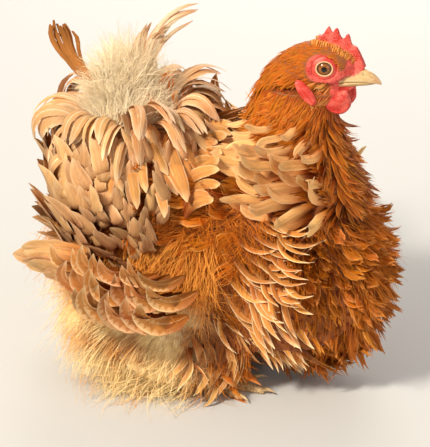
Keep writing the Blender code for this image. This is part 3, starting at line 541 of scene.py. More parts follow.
def split(draw, sizes, locks, spread, own, stray):
    """Splits each feather of a group into locks of barbs side by side, which part towards the tip.

    They part by spread degrees; own is their width as a share of an even split, stray their disorder.
    """
    made, total = repeated(sizes, locks)
    made["offset"] = np.tile(np.linspace(-1, 1, locks), total // locks)
    made["own"] = own / locks
    made["length"] = made["length"] * (1 - 0.10 * made["offset"] ** 2 - draw.uniform(0, 0.06 * stray, total))
    made["curl"] = made["curl"] + np.radians(draw.normal(0, 3 * stray, total))
    made["sweep"] = made["sweep"] + np.radians(made["offset"] * spread + draw.normal(0, 1.5 * stray, total))
    return made


def tufted(draw, sizes, strands, spread, width):
    """Splits each feather of a group into a tuft of strands that leave one root."""
    made, total = repeated(sizes, strands)
    made["lie"] = unit(made["lie"]) + draw.normal(0, spread, (total, 3))
    made["length"] = made["length"] * draw.uniform(0.7, 1.05, total)
    made["rise"] = made["rise"] + draw.normal(0, 0.16, total)
    made["curl"] = made["curl"] + draw.normal(0, 0.22, total)
    made["sweep"] = made["sweep"] + draw.normal(0, 0.2, total)
    made["root"] = made["root"] + draw.normal(0, 0.9 * MM, (total, 3))
    made["width"] = np.full(total, width) * draw.uniform(0.6, 1.2, total)
    made["tint"] = np.clip(made["tint"] + draw.normal(0, 0.12, total), 0, 1)
    made["outline"] = "strand"
    return made


def corner_indices(obj):
    """Vertex numbers of every triangle of obj."""
    obj.data.calc_loop_triangles()
    corners = np.empty(len(obj.data.loop_triangles) * 3, np.int32)
    obj.data.loop_triangles.foreach_get("vertices", corners)
    return corners.reshape(-1, 3)


def scattered(settings, draw, where, spacing, closer=1.0):
    """Points spread evenly over the skin where a rule of place and body part holds.

    They are spaced along Z as many times closer.
    """
    spacing = spacing / math.sqrt(settings.density)
    skin = bpy.data.objects.get("skin")
    if skin is None:
        raise RuntimeError("the skin is made first")
    corners = local_points(skin)[corner_indices(skin)]
    middles = corners.mean(axis=1)
    corners = corners[where(middles, parts_of(middles))]
    edges = corners[:, 1:] - corners[:, :1]
    areas = np.linalg.norm(np.cross(edges[:, 0], edges[:, 1]), axis=1) / 2
    tries = int(TRIES * areas.sum() * closer / spacing**2)
    hit = corners[draw.choice(len(corners), tries, p=areas / areas.sum())]
    a, b = draw.uniform(0, 1, (2, tries, 1))
    flip = a + b > 1
    a, b = np.where(flip, 1 - a, a), np.where(flip, 1 - b, b)
    points = hit[:, 0] * (1 - a - b) + hit[:, 1] * a + hit[:, 2] * b
    measured = points * (1, 1, closer)
    numbers = np.floor(measured / spacing).astype(int).tolist()
    steps = list(itertools.product((-1, 0, 1), repeat=3))
    cells, kept = {}, []
    for index, (point, cell) in enumerate(zip(measured.tolist(), numbers)):
        near = [cells.get((cell[0] + i, cell[1] + j, cell[2] + k)) for i, j, k in steps]
        if all(other is None or math.dist(point, other) >= spacing for other in near):
            cells[tuple(cell)] = point
            kept.append(index)
    return points[kept]


def around(points, centre, signed=False):
    """Turn in degrees from straight ahead, and tilt in degrees above level, seen from a centre."""
    away = unit(points - centre)
    turn = np.degrees(np.arctan2(away[:, 1], away[:, 0]))
    return turn if signed else np.abs(turn), np.degrees(np.arcsin(np.clip(away[:, 2], -1, 1)))


def least(parts, name, among=BODY_PARTS):
    """Where one body part is nearer than the others."""
    return np.all([parts[name] <= parts[other] for other in among if other != name], axis=0)


# Finishes.


# Colours of each kind of feather above, below, at the root and at the rim, in shares of 255. Then how much of
# the rim's colour the rim and the shaft take. A root deeper than the top is painted shade where the feathers
# overlap; the tail's paler roots are their own pale bases. A rim paler than the top is partly the feather's
# own pale edge and partly painted highlight.
FEATHER_LOOKS = {
    "head feathers": ((186, 98, 18), (194, 110, 32), (162, 74, 8), (222, 142, 58), 0.30, 0.10),
    "cheek feathers": ((226, 150, 74), (228, 162, 90), (204, 100, 40), (250, 210, 150), 0.50, 0.10),
    "comb tufts": ((226, 140, 56), (236, 172, 92), (190, 92, 24), (252, 208, 136), 0.50, 0.10),
    "hackle feathers": ((238, 184, 116), (240, 192, 132), (168, 84, 14), (252, 220, 170), 0.35, 0.12),
    "neck feathers": ((196, 106, 26), (214, 136, 56), (138, 58, 3), (244, 180, 100), 0.50, 0.15),
    # Throat: deeper than the neck feathers, painted shade on the front of the neck and under the hackle.
    "throat feathers in painted shade": ((156, 80, 18), (176, 102, 38), (100, 40, 2), (220, 150, 80), 0.45, 0.15),
    # Flank: a broad rim paler than the top, partly the feathers' own pale edges and partly painted highlight.
    "flank feathers": ((212, 142, 70), (234, 176, 104), (132, 60, 6), (255, 232, 186), 0.80, 0.15),
    # Breast front: deeper than the flank feathers, painted shade on the front of the breast.
    "breast feathers in painted shade": ((172, 94, 22), (190, 114, 40), (112, 46, 2), (236, 172, 96), 0.35, 0.10),
    "shoulder feathers": ((200, 138, 76), (220, 164, 102), (130, 58, 8), (246, 212, 160), 0.50, 0.12),
    "saddle feathers": ((180, 126, 74), (198, 150, 100), (124, 58, 10), (238, 202, 156), 0.45, 0.12),
    "back feathers": ((206, 142, 80), (214, 152, 90), (180, 108, 48), (246, 214, 168), 0.55, 0.12),
    "bow plumes": ((204, 118, 34), (214, 134, 54), (180, 88, 14), (240, 182, 104), 0.50, 0.10),
    "wing quills": ((218, 166, 110), (216, 160, 106), (200, 130, 70), (246, 206, 154), 0.50, 0.40),
    "wing coverts": ((202, 138, 76), (228, 174, 118), (148, 78, 22), (248, 214, 164), 0.65, 0.25),
    "tail quills": ((208, 158, 106), (226, 184, 134), (214, 180, 138), (248, 226, 190), 0.50, 0.50),
    "rust quills": ((176, 112, 56), (186, 126, 72), (206, 150, 92), (140, 86, 40), 0.70, 0.20),
    "grey quills": ((206, 182, 148), (214, 194, 164), (222, 206, 176), (176, 112, 58), 0.70, 0.90),
    "foot feathers": ((206, 120, 44), (222, 152, 84), (150, 74, 22), (242, 190, 120), 0.40, 0.20),
}
# Colours of each kind of down where it is neither cream nor ash, in shares of 255.
DOWN_COLOURS = {
    "breast down": (206, 116, 28), "saddle down": (214, 128, 48),
    "orange down": (224, 136, 46), "pale down": (222, 146, 60),
}
PALE_FLESH, DEEP_FLESH = (1.0, 0.36, 0.27), (0.36, 0.004, 0.004)


def srgb(colour):
    """Linear colour from one in shares of 255."""
    return tuple(c / 255 / 12.92 if c <= 10 else ((c / 255 + 0.055) / 1.055) ** 2.4 for c in colour)


def fill(tree, made, values):
    """Sets the inputs of a node to values, colours or outputs of other nodes."""
    for key, value in values.items():
        socket = made.inputs[key]
        if isinstance(value, bpy.types.NodeSocket):
            tree.links.new(value, socket)
        elif socket.type == "RGBA":
            socket.default_value = (*tuple(value)[:3], 1.0)
        else:
            socket.default_value = value
    return made


def node(tree, kind, values=None, **settings):
    """A new node with its settings and its inputs."""
    made = tree.nodes.new(kind)
    for key, value in settings.items():
        setattr(made, key, value)
    return fill(tree, made, values or {})


def mixed(tree, share, first, second):
    """One colour carried to another."""
    return node(tree, "ShaderNodeMix", {0: share, 6: first, 7: second}, data_type="RGBA").outputs[2]


def maths(tree, operation, *values):
    """Output of one step of arithmetic."""
    return node(tree, "ShaderNodeMath", dict(enumerate(values)), operation=operation).outputs[0]


def span(tree, value, start, end, first=0.0, last=1.0):
    """Value carried smoothly from start..end to first..last."""
    links = {"Value": value, "From Min": start, "From Max": end, "To Min": first, "To Max": last}
    return node(tree, "ShaderNodeMapRange", links, interpolation_type="SMOOTHSTEP").outputs[0]


def noise_of(tree, vector, scale, detail=2.0, roughness=0.5):
    """Soft noise from 0 to 1."""
    values = {"Vector": vector, "Scale": scale, "Detail": detail, "Roughness": roughness}
    return node(tree, "ShaderNodeTexNoise", values).outputs["Fac"]


def vector_of(tree, *parts):
    """Output of a vector from its three parts."""
    return node(tree, "ShaderNodeCombineXYZ", dict(enumerate(parts))).outputs[0]


def parts_of_vector(tree, vector):
    """The three parts of a vector as outputs."""
    return node(tree, "ShaderNodeSeparateXYZ", {0: vector}).outputs


def map_of(tree, name):
    """The two parts of a piece's own map as outputs."""
    return parts_of_vector(tree, node(tree, "ShaderNodeUVMap", uv_map=name).outputs[0])


def attribute_of(tree, name):
    """A number that a piece carries at each point."""
    return node(tree, "ShaderNodeAttribute", attribute_name=name).outputs["Fac"]


def place_of(tree):
    """Object coordinates of a piece."""
    return node(tree, "ShaderNodeTexCoord").outputs["Object"]


def new_group(name, inputs, outputs, kind="ShaderNodeTree"):
    """An empty node group with its sockets."""
    tree = bpy.data.node_groups.new(name, kind)
    for in_out, sockets in (("INPUT", inputs), ("OUTPUT", outputs)):
        for socket_name, holds in sockets:
            tree.interface.new_socket(socket_name, in_out=in_out, socket_type="NodeSocket" + holds)
    return tree, node(tree, "NodeGroupInput"), node(tree, "NodeGroupOutput")


def feather_group():
    """Colour and barbs over one vane, from its own maps.

    Towards the root it takes the root's colour, deeper for most kinds: painted shade where the feathers
    overlap. Rim and tip are pale, partly the feather's own pale edge and partly painted highlight, and so is
    the shaft.
    """
    if "feather colours" in bpy.data.node_groups:
        return bpy.data.node_groups["feather colours"]
    tree, given, out = new_group(
        "feather colours",
        [("Top", "Color"), ("Under", "Color"), ("Root", "Color"), ("Rim", "Color"), ("Rim Share", "Float"),
         ("Shaft Share", "Float")],
        [("Color", "Color"), ("Height", "Float")])
    place, plume = map_of(tree, "vane"), map_of(tree, "plume")
    edge = maths(tree, "ABSOLUTE", maths(tree, "MULTIPLY_ADD", place[0], 2.0, -1.0))
    slant = maths(tree, "MULTIPLY_ADD", edge, -8.0, maths(tree, "MULTIPLY", place[1], 46.0))
    streak = vector_of(tree, edge, slant, maths(tree, "MULTIPLY", plume[0], 57.0))
    barbs = span(tree, noise_of(tree, streak, 1.0, 2.0, 0.6), 0.34, 0.66)
    shaft = span(tree, edge, 0.10, 0.02)
    body = mixed(tree, plume[1], given.outputs["Top"], given.outputs["Under"])
    # Painted shade: towards the root the colour goes over to Root, deep for most kinds where feathers
    # overlap.
    body = mixed(tree, span(tree, place[1], 0.10, 0.62), given.outputs["Root"], body)
    # Pale rims and tips: partly the feather's own pale edge, partly painted highlight.
    rim = maths(tree, "MULTIPLY", span(tree, edge, 0.66, 1.0), span(tree, place[1], 0.20, 0.60))
    rim = maths(tree, "MAXIMUM", rim, span(tree, place[1], 0.78, 1.0))
    rim = maths(tree, "MULTIPLY", rim, given.outputs["Rim Share"])
    rim = maths(tree, "MAXIMUM", rim, maths(tree, "MULTIPLY", shaft, given.outputs["Shaft Share"]))
    body = mixed(tree, rim, body, given.outputs["Rim"])
    long = vector_of(tree, maths(tree, "MULTIPLY", place[0], 5.0), maths(tree, "MULTIPLY", place[1], 1.6),
                     maths(tree, "MULTIPLY", plume[0], 91.0))
    streaks = span(tree, noise_of(tree, long, 1.0, 2.0), 0.36, 0.62)
    # Brightness: tone that differs at random from feather to feather, with barbs and long streaks.
    light = maths(tree, "MULTIPLY_ADD", plume[0], 0.30, 0.66)
    light = maths(tree, "MULTIPLY_ADD", barbs, 0.16, light)
    light = maths(tree, "MULTIPLY_ADD", streaks, 0.22, light)
    turn = maths(tree, "FRACT", maths(tree, "MULTIPLY", plume[0], 7.3))
    hue = maths(tree, "MULTIPLY_ADD", turn, 0.012, 0.492)
    shaded = node(tree, "ShaderNodeHueSaturation",
                  {"Hue": hue, "Saturation": 1.02, "Value": light, "Color": body})
    fill(tree, out, {"Color": shaded.outputs[0], "Height": maths(tree, "MULTIPLY_ADD", shaft, 0.8, barbs)})
    return tree


def surface(name, roughness, specular, sheen=0.0, coat=0.0):
    """A new material, its nodes and its shader."""
    material = bpy.data.materials.new(name)
    material.use_nodes = True
    tree = material.node_tree
    shader = fill(tree, tree.nodes["Principled BSDF"], {
        "Roughness": roughness, "Specular IOR Level": specular, "Sheen Weight": sheen, "Sheen Roughness": 0.5,
        "Coat Weight": coat, "Coat Roughness": 0.15})
    return material, tree, shader


def painted(tree, shader, colour, height=None, distance=0.0, strength=0.0):
    """Gives a shader its colour, and its relief from a height."""
    fill(tree, shader, {"Base Color": colour})
    if height is not None:
        bump = node(tree, "ShaderNodeBump", {"Height": height, "Distance": distance, "Strength": strength})
        fill(tree, shader, {"Normal": bump.outputs[0]})


def feather_finish(name):
    """The finish of one kind of feather."""
    *colours, rim_share, shaft_share = FEATHER_LOOKS[name]
    material, tree, shader = surface(name, roughness=0.52, specular=0.22, sheen=0.03)
    values = dict(zip(("Top", "Under", "Root", "Rim"), map(srgb, colours)))
    group = node(tree, "ShaderNodeGroup", {**values, "Rim Share": rim_share, "Shaft Share": shaft_share},
                 node_tree=feather_group())
    painted(tree, shader, group.outputs["Color"], group.outputs["Height"], distance=0.10 * MM, strength=0.6)
    return material


def down_group():
    """Colour of the close down over the body: cream below and behind, ash round the tail, orange above."""
    if "down colours" in bpy.data.node_groups:
        return bpy.data.node_groups["down colours"]
    tree, given, out = new_group(
        "down colours", [("Place", "Vector"), ("Orange", "Color"), ("Cream", "Color"), ("Ash", "Color")],
        [("Color", "Color")])
    here, orange, cream, ash = (given.outputs[name] for name in ("Place", "Orange", "Cream", "Ash"))
    place = parts_of_vector(tree, here)
    patches = noise_of(tree, here, 38.0, 3.0)
    low = span(tree, maths(tree, "MULTIPLY_ADD", patches, 0.03, place[2]), 0.088, 0.062)
    rear = span(tree, place[0], 0.020, -0.006)
    tail = node(tree, "ShaderNodeVectorMath", {0: here, 1: (-0.058, 0.0, 0.176)}, operation="DISTANCE")
    patched = mixed(tree, span(tree, patches, 0.44, 0.60), cream, mixed(tree, 0.75, cream, orange))
    colour = mixed(tree, maths(tree, "MULTIPLY", low, rear), orange, patched)
    colour = mixed(tree, span(tree, tail.outputs["Value"], 0.056, 0.030), colour, ash)
    fill(tree, out, {"Color": colour})
    return tree


def down_colour(tree, settings, orange):
    """The down colours of a piece, and the place in the hen's own frame that they are read at."""
    here = node(tree, "ShaderNodeMapping", {"Vector": place_of(tree), "Location": tuple(-SHIFT)}).outputs[0]
    values = {"Place": here, "Orange": orange, "Cream": settings.cream, "Ash": settings.ash}
    return node(tree, "ShaderNodeGroup", values, node_tree=down_group()).outputs["Color"], here


def down_finish(name, settings):
    """Fine strands of down, darker at the root as painted shade, and toned at random from strand to strand.
    """
    material, tree, shader = surface(name, roughness=0.7, specular=0.12, sheen=0.05)
    colour, _ = down_colour(tree, settings, srgb(DOWN_COLOURS[name]))
    light = maths(tree, "MULTIPLY_ADD", map_of(tree, "plume")[0], 0.40, 0.66)
    # Painted shade: darker at the root of each strand, lighter towards its tip.
    light = maths(tree, "MULTIPLY_ADD", span(tree, map_of(tree, "vane")[1], 0.0, 0.8), 0.22, light)
    shaded = node(tree, "ShaderNodeHueSaturation", {"Value": light, "Color": colour})
    painted(tree, shader, shaded.outputs[0])
    return material


def skin_finish(settings):
    """Down-coloured skin over the body, red pebbled skin on the bare face.

    Where the down is orange the skin takes the deeper rust: painted shade between the feathers.
    """
    material, tree, shader = surface("skin", roughness=0.6, specular=0.3, sheen=0.2)
    colour, here = down_colour(tree, settings, settings.rust)
    flesh, height = flesh_colour(tree, settings, here)
    colour = mixed(tree, attribute_of(tree, "bare"), colour, flesh)
    painted(tree, shader, colour, height, distance=0.35 * MM, strength=0.8)
    return material


def flesh_group():
    """Pebbled red skin: clouds of deeper and paler red, the tops of the bumps paler as painted highlight and
    darker between them.
    """
    if "flesh" in bpy.data.node_groups:
        return bpy.data.node_groups["flesh"]
    tree, given, out = new_group("flesh", [("Place", "Vector"), ("Flesh", "Color"), ("Grain", "Float")],
                                 [("Color", "Color"), ("Height", "Float")])
    here, red, grain = (given.outputs[name] for name in ("Place", "Flesh", "Grain"))
    cells = node(tree, "ShaderNodeTexVoronoi", {"Vector": here, "Scale": grain}, feature="F1")
    bumps = span(tree, cells.outputs["Distance"], 0.65, 0.10)
    cloud = span(tree, noise_of(tree, here, 160.0, 3.0), 0.38, 0.62)
    colour = mixed(tree, cloud, mixed(tree, 0.45, red, DEEP_FLESH), mixed(tree, 0.24, red, PALE_FLESH))
    # Painted highlight: the tops of the bumps are mixed towards pale flesh.
    colour = mixed(tree, maths(tree, "MULTIPLY", bumps, 0.22), colour, PALE_FLESH)
    fill(tree, out, {"Color": colour, "Height": bumps})
    return tree


def flesh_colour(tree, settings, here, tone=1.0, grain=1150.0):
    """Colour and relief of red skin: tone makes it paler, grain makes its pebbles smaller."""
    values = {"Place": here, "Flesh": [part * tone for part in settings.flesh], "Grain": grain}
    group = node(tree, "ShaderNodeGroup", values, node_tree=flesh_group())
    return group.outputs["Color"], group.outputs["Height"]


def flesh_finish(name, settings, tone=1.0, grain=1150.0):
    """Red skin of a piece of its own."""
    material, tree, shader = surface(name, roughness=0.42, specular=0.35)
    colour, height = flesh_colour(tree, settings, place_of(tree), tone, grain)
    painted(tree, shader, colour, height, distance=0.30 * MM, strength=0.7)
    return material


def horn_finish(name, settings):
    """Smooth horn with fine growth lines.

    A piece carries along, which is 1 at the tip, and may carry pit in a nostril and cere on red skin.
    """
    material, tree, shader = surface(name, roughness=0.30, specular=0.5, coat=0.25)
    here = place_of(tree)
    stretched = node(tree, "ShaderNodeMapping", {"Vector": here, "Scale": (160, 900, 900)}).outputs[0]
    lines = noise_of(tree, stretched, 1.0, 3.0)
    tip = span(tree, attribute_of(tree, "along"), 0.55, 1.0)
    colour = mixed(tree, tip, settings.horn, (0.52, 0.26, 0.11))
    pale = maths(tree, "MULTIPLY", span(tree, lines, 0.40, 0.70), 0.35)
    colour = mixed(tree, pale, colour, (0.92, 0.74, 0.44))
    colour = mixed(tree, attribute_of(tree, "cere"), colour, flesh_colour(tree, settings, here)[0])
    # Near-black in the nostril pit: painted shade inside the opening.
    colour = mixed(tree, attribute_of(tree, "pit"), colour, (0.10, 0.035, 0.02))
    painted(tree, shader, colour, lines, distance=0.06 * MM, strength=0.5)
    return material


def eye_finish():
    """Black pupil in an amber iris under a clear wet surface.

    A piece carries gaze, which is the distance off the eye's axis.
    """
    material, tree, shader = surface("eye", roughness=0.05, specular=0.5)
    off = attribute_of(tree, "gaze")
    fleck = span(tree, noise_of(tree, place_of(tree), 1400.0, 3.0, 0.7), 0.35, 0.68)
    colour = mixed(tree, fleck, (0.21, 0.062, 0.009), (0.42, 0.150, 0.026))
    for start, end, ring in (
            (0.62 * IRIS_RADIUS, 0.96 * IRIS_RADIUS, (0.09, 0.026, 0.008)),
            (1.06 * PUPIL_RADIUS, 0.90 * PUPIL_RADIUS, (0.004, 0.003, 0.003)),
            (IRIS_RADIUS, 1.05 * IRIS_RADIUS, (0.05, 0.016, 0.008))):
        colour = mixed(tree, span(tree, off, start, end), colour, ring)
    painted(tree, shader, colour)
    return material


def lid_finish(settings):
    """Pale bare rim, pink fold behind it.

    A piece carries out, which is 0 at the rim and 1 at the cheek.
    """
    material, tree, shader = surface("lid", roughness=0.45, specular=0.4)
    here = place_of(tree)
    flesh, height = flesh_colour(tree, settings, here, grain=1500.0)
    pale = mixed(tree, noise_of(tree, here, 900.0), (0.74, 0.42, 0.18), (0.86, 0.60, 0.34))
    colour = mixed(tree, span(tree, attribute_of(tree, "out"), 0.30, 0.46), pale, flesh)
    painted(tree, shader, colour, height, distance=0.12 * MM, strength=0.5)
    return material


def foot_finish():
    """Pale scutes with brown seams."""
    material, tree, shader = surface("foot scales", roughness=0.45, specular=0.4)
    here = place_of(tree)
    cells = node(tree, "ShaderNodeTexVoronoi", {"Vector": here, "Scale": 420.0}, feature="DISTANCE_TO_EDGE")
    seams = span(tree, cells.outputs[0], 0.0, 0.12)
    colour = mixed(tree, noise_of(tree, here, 260.0), (0.72, 0.44, 0.17), (0.84, 0.62, 0.34))
    colour = mixed(tree, seams, (0.40, 0.20, 0.09), colour)
    painted(tree, shader, colour, seams, distance=0.2 * MM, strength=0.6)
    return material


# Bare parts and skin.

# Lower edge of the red cere over the upper bill, as places along X and heights.
CERE_EDGE = ((0.0770, 0.0815, 0.0876, 0.0905, 0.0925), (0.2062, 0.2094, 0.2112, 0.2134, 0.2155))
# Bed of the bill in the face, as places along X and half-widths.
BILL_BED = ((0.0755, 0.0785, 0.0850, 0.0930), (0.0090, 0.0052, 0.0040, 0.0020))
# Section of the lids, as distances off the eye's axis and heights along it, in millimetres.
LID_SECTION = (
    (4.12, 3.10), (4.15, 3.55), (4.36, 3.85), (4.75, 3.90), (5.10, 3.65), (5.35, 3.30), (5.60, 3.15),
    (6.00, 3.10), (6.50, 2.80), (7.20, 2.10), (7.90, 0.90), (7.40, -0.60), (5.60, 0.30), (4.50, 2.00),
)
# Dish round the eye, as distances off its axis and heights along it.
ORBIT = ((0.0, 0.0046, 0.0066, 0.0086, 0.0110), (-0.0015, -0.0008, 0.0012, 0.0030, 0.0080))


ROUNDED = {"levels": 1, "render_levels": 1}
CLAW_SIDES = 12


def sunk(points):
    """Points of the skin drawn back under the lids and along the base of the bill."""
    for _, sign in SIDES:
        away, axis = points - mirrored(EYE_CENTRE, sign), mirrored(EYE_AXIS, sign)
        along = away @ axis
        off = np.linalg.norm(away - np.outer(along, axis), axis=1)
        limit = np.interp(off, *ORBIT)
        points = points - np.outer(np.maximum(along - limit, 0.0) * (along > -2 * MM), axis)
    top = np.interp(points[:, 0], *CERE_EDGE)
    band = smoothstep(0.1985, 0.2010, points[:, 2]) * smoothstep(top + 2 * MM, top, points[:, 2])
    over = np.maximum(np.abs(points[:, 1]) - np.interp(points[:, 0], *BILL_BED), 0.0)
    return points - np.outer(over * band * np.sign(points[:, 1]), (0, 1, 0))


def make_skin(settings):
    """Voxel remesh of the rough masses, refined at the head and drawn onto the smooth shape."""
    level, droop = Matrix.Identity(4), Matrix.Rotation(-WING_DROOP, 4, "Y")
    balls = [(centre, half, level) for centre, half in TRUNK_MASSES + HEAD_MASSES]
    balls += [((x, 0, z), (deep, wide, 0.020), level) for z, x, deep, wide in NECK_RINGS]
    for _, sign in SIDES:
        balls.append((mirrored(THIGH[0], sign), THIGH[1], level))
        balls.append((mirrored(WING_CENTRE, sign), WING_HALF, droop))
    for share, radius in ((0.0, TAIL_RADII[0]), (0.5, sum(TAIL_RADII) / 2), (1.0, TAIL_RADII[1])):
        balls.append((TAIL_BASE + (TAIL_TIP - TAIL_BASE) * share, (radius,) * 3, level))
    bm = bmesh.new()
    for centre, half, turn in balls:
        place = Matrix.Translation(Vector(centre) + Vector(SHIFT)) @ turn @ Matrix.Diagonal((*half, 1.0))
        bmesh.ops.create_icosphere(bm, subdivisions=5, radius=1.0, matrix=place)
    skin = linked("skin", bpy.data.meshes.new("skin"))
    written(bm, skin)
    with_modifiers(skin, REMESH={"mode": "VOXEL", "voxel_size": settings.skin_cell})
    bm = bmesh.new()
    bm.from_mesh(skin.data)
    head = [edge for edge in bm.edges if min(v.co.z for v in edge.verts) > 0.190]
    bmesh.ops.subdivide_edges(bm, edges=head, cuts=2, use_grid_fill=True)
    bmesh.ops.triangulate(bm, faces=bm.faces)
    written(bm, skin)
    points = sunk(settled(local_points(skin), 5))
    bare = bare_face(points)
    wrinkles = np.array([noise.noise(Vector(p) * 420) if b > 0 else 0.0 for p, b in zip(points, bare)])
    points += outward_of(points) * (wrinkles * bare * 0.30 * MM)[:, None]
    set_local_points(skin, points)
    attribute = skin.data.attributes.new("bare", "FLOAT", "POINT")
    attribute.data.foreach_set("value", bare.astype(np.float32))
    finished(skin, skin_finish(settings))
    sided = [f"{part}_{side}" for part in ("wing", "thigh") for side, _ in SIDES]
    declare(skin, "body_feathers", "head", "neck", "torso", "tail", *sided)


def ball_arrays(half, segments, rings):
    """A closed ball with its poles on Z."""
    tilt = math.pi * (np.arange(rings) + 0.5) / rings
    turn = 2 * math.pi * np.arange(segments) / segments
    shape = np.stack((np.outer(np.sin(tilt), np.cos(turn)), np.outer(np.sin(tilt), np.sin(turn)),
                      np.outer(np.cos(tilt), np.ones(segments))), axis=-1)
    return tube_arrays(shape[::-1] * np.array(half))


def axes_of(axis):
    """Two directions square to an axis, and the axis, as columns."""
    first = unit(np.cross(axis, UP))
    return np.stack((first, np.cross(axis, first), axis), axis=-1)


def make_eyes(settings):
    """Eyeballs turned to both sides, and a rolled ring of bare skin round each as its lids."""
    finish, rims = eye_finish(), lid_finish(settings)
    section, steps = np.array(LID_SECTION) * MM, 56
    turn = 2 * math.pi * np.arange(steps) / steps
    # The opening is a little longer than it is high, and drawn out to its two corners.
    radius = section[:, 0] * (1 + 0.05 * np.cos(2 * turn))[:, None]
    for side, sign in SIDES:
        centre, axis = mirrored(EYE_CENTRE, sign), mirrored(EYE_AXIS, sign)
        axes = axes_of(axis)
        points, faces = ball_arrays((EYE_RADIUS,) * 3, segments=48, rings=28)
        off = np.hypot(points[:, 0], points[:, 1]) + (points[:, 2] < 0) * EYE_RADIUS
        eye = mesh_object(f"eyeball_{side}", points @ axes.T + centre, faces, finish, values={"gaze": off})
        declare(recalculated(eye), "eye", f"eye_{side}")
        sag = np.array([noise.noise(Vector((math.cos(a), math.sin(a), 3.0 + sign)) * 1.7) for a in turn])
        height = section[:, 1] + 0.15 * MM * sag[:, None] * (section[:, 0] > 5.3 * MM)
        rings = np.stack((radius * np.cos(turn)[:, None], radius * np.sin(turn)[:, None], height), axis=-1)
        points = rings.reshape(-1, 3) @ axes.T + centre
        a = np.arange(len(points)).reshape(steps, -1)
        b, d = np.roll(a, -1, axis=1), np.roll(a, -1, axis=0)
        quads = np.stack((a, b, np.roll(d, -1, axis=1), d), axis=-1).reshape(-1, 4)
        out = np.tile(np.arange(len(section)) / 10, steps)
        lid = recalculated(mesh_object(f"lids_{side}", points, quads, rims, values={"out": out}))
        declare(with_modifiers(lid, SUBSURF=ROUNDED), "red_skin")


def mouth_height(share):
    """Height of the line between the bills, from gape to tip."""
    return GAPE_Z + (BILL_TIP_Z - GAPE_Z) * share + 1.4 * MM * np.sin(math.pi * share) * (1 - 0.6 * share)


def bill_rings(upper):
    """Rings of one bill from deep in the face to its tip, and their shares of its length."""
    depth, reach, sign = (UPPER_BILL_DEPTH, 1.0, 1) if upper else (LOWER_BILL_DEPTH, 0.90, -1)
    across = np.cos(np.linspace(0, math.pi, 17))
    arch = (1 - np.abs(across) ** 2.3) ** (1 / 1.7)
    shares = np.linspace(-0.12, reach, 30)
    rings = []
    for share in shares:
        ahead = max(share, 0.0)
        taper = max(0.0, 1 - (ahead / reach) ** 2.2)
        half = BILL_HALF_WIDTH * (0.06 + 0.94 * taper**0.8) + 0.5 * MM * smoothstep(0.5, 0.2, share)
        tall = depth * (0.10 + 0.90 * taper**0.7)
        hook = 1.5 * MM * ahead**6 if upper else 0
        foot = mouth_height(ahead) + sign * 0.12 * MM - hook
        x = GAPE_X + (BILL_TIP_X - GAPE_X) * share
        outer = columns(x, half * across, foot + sign * tall * arch)
        inner = columns(x, half * 0.9 * np.linspace(-1, 1, 9), foot)
        rings.append(np.concatenate((outer, inner[1:-1])))
    return np.array(rings), shares / reach


def make_bill(settings):
    """Both halves of the bill, with nostrils sunk in the upper one and its red cere."""
    finish = horn_finish("bill horn", settings)
    for name, upper in (("bill_upper", True), ("bill_lower", False)):
        rings, shares = bill_rings(upper)
        points, faces = tube_arrays(rings)
        along = np.repeat(np.concatenate((shares[:1], shares, shares[-1:])), rings.shape[1])
        off = (folded(points) - NOSTRIL) / (np.array((1.7, 1.6, 0.60)) * MM)
        pit = smoothstep(1.15, 0.6, np.linalg.norm(off, axis=1)) if upper else np.zeros(len(points))
        points = points - np.outer(pit * 0.7 * MM, (0, 1, 0)) * np.sign(points[:, 1:2])
        over = points[:, 2] - np.interp(points[:, 0], *CERE_EDGE)
        cere = smoothstep(-0.3 * MM, 0.4 * MM, over) * smoothstep(0.0935, 0.0915, points[:, 0])
        bill = mesh_object(name, points, faces, finish,
                           values={"along": np.clip(along, 0, 1), "pit": pit, "cere": cere})
        bill = with_modifiers(recalculated(bill), SUBSURF=ROUNDED)
        declare(bill, "bill_horn", "upper_bill" if upper else "lower_bill")


# Outline of the comb, forward from its rear foot, as places along X and heights in millimetres.
COMB_OUTLINE = (
    (60.5, 224.0), (63.6, 230.6), (66.6, 233.4), (68.2, 236.4), (69.7, 238.9), (70.8, 236.9), (71.9, 234.6),
    (72.6, 234.9), (73.3, 237.2), (74.6, 238.2), (75.7, 236.6), (76.8, 233.2), (78.2, 230.8), (79.2, 231.8),
    (80.4, 234.6), (81.6, 234.9), (82.5, 232.4), (83.4, 229.0), (84.4, 227.6), (85.6, 228.0), (87.0, 227.0),
    (89.0, 223.8), (90.8, 219.8), (92.4, 215.6), (90.6, 212.2), (84.0, 213.5), (76.0, 217.0), (66.0, 220.5),
)
COMB_HALF_THICK = 2.0 * MM


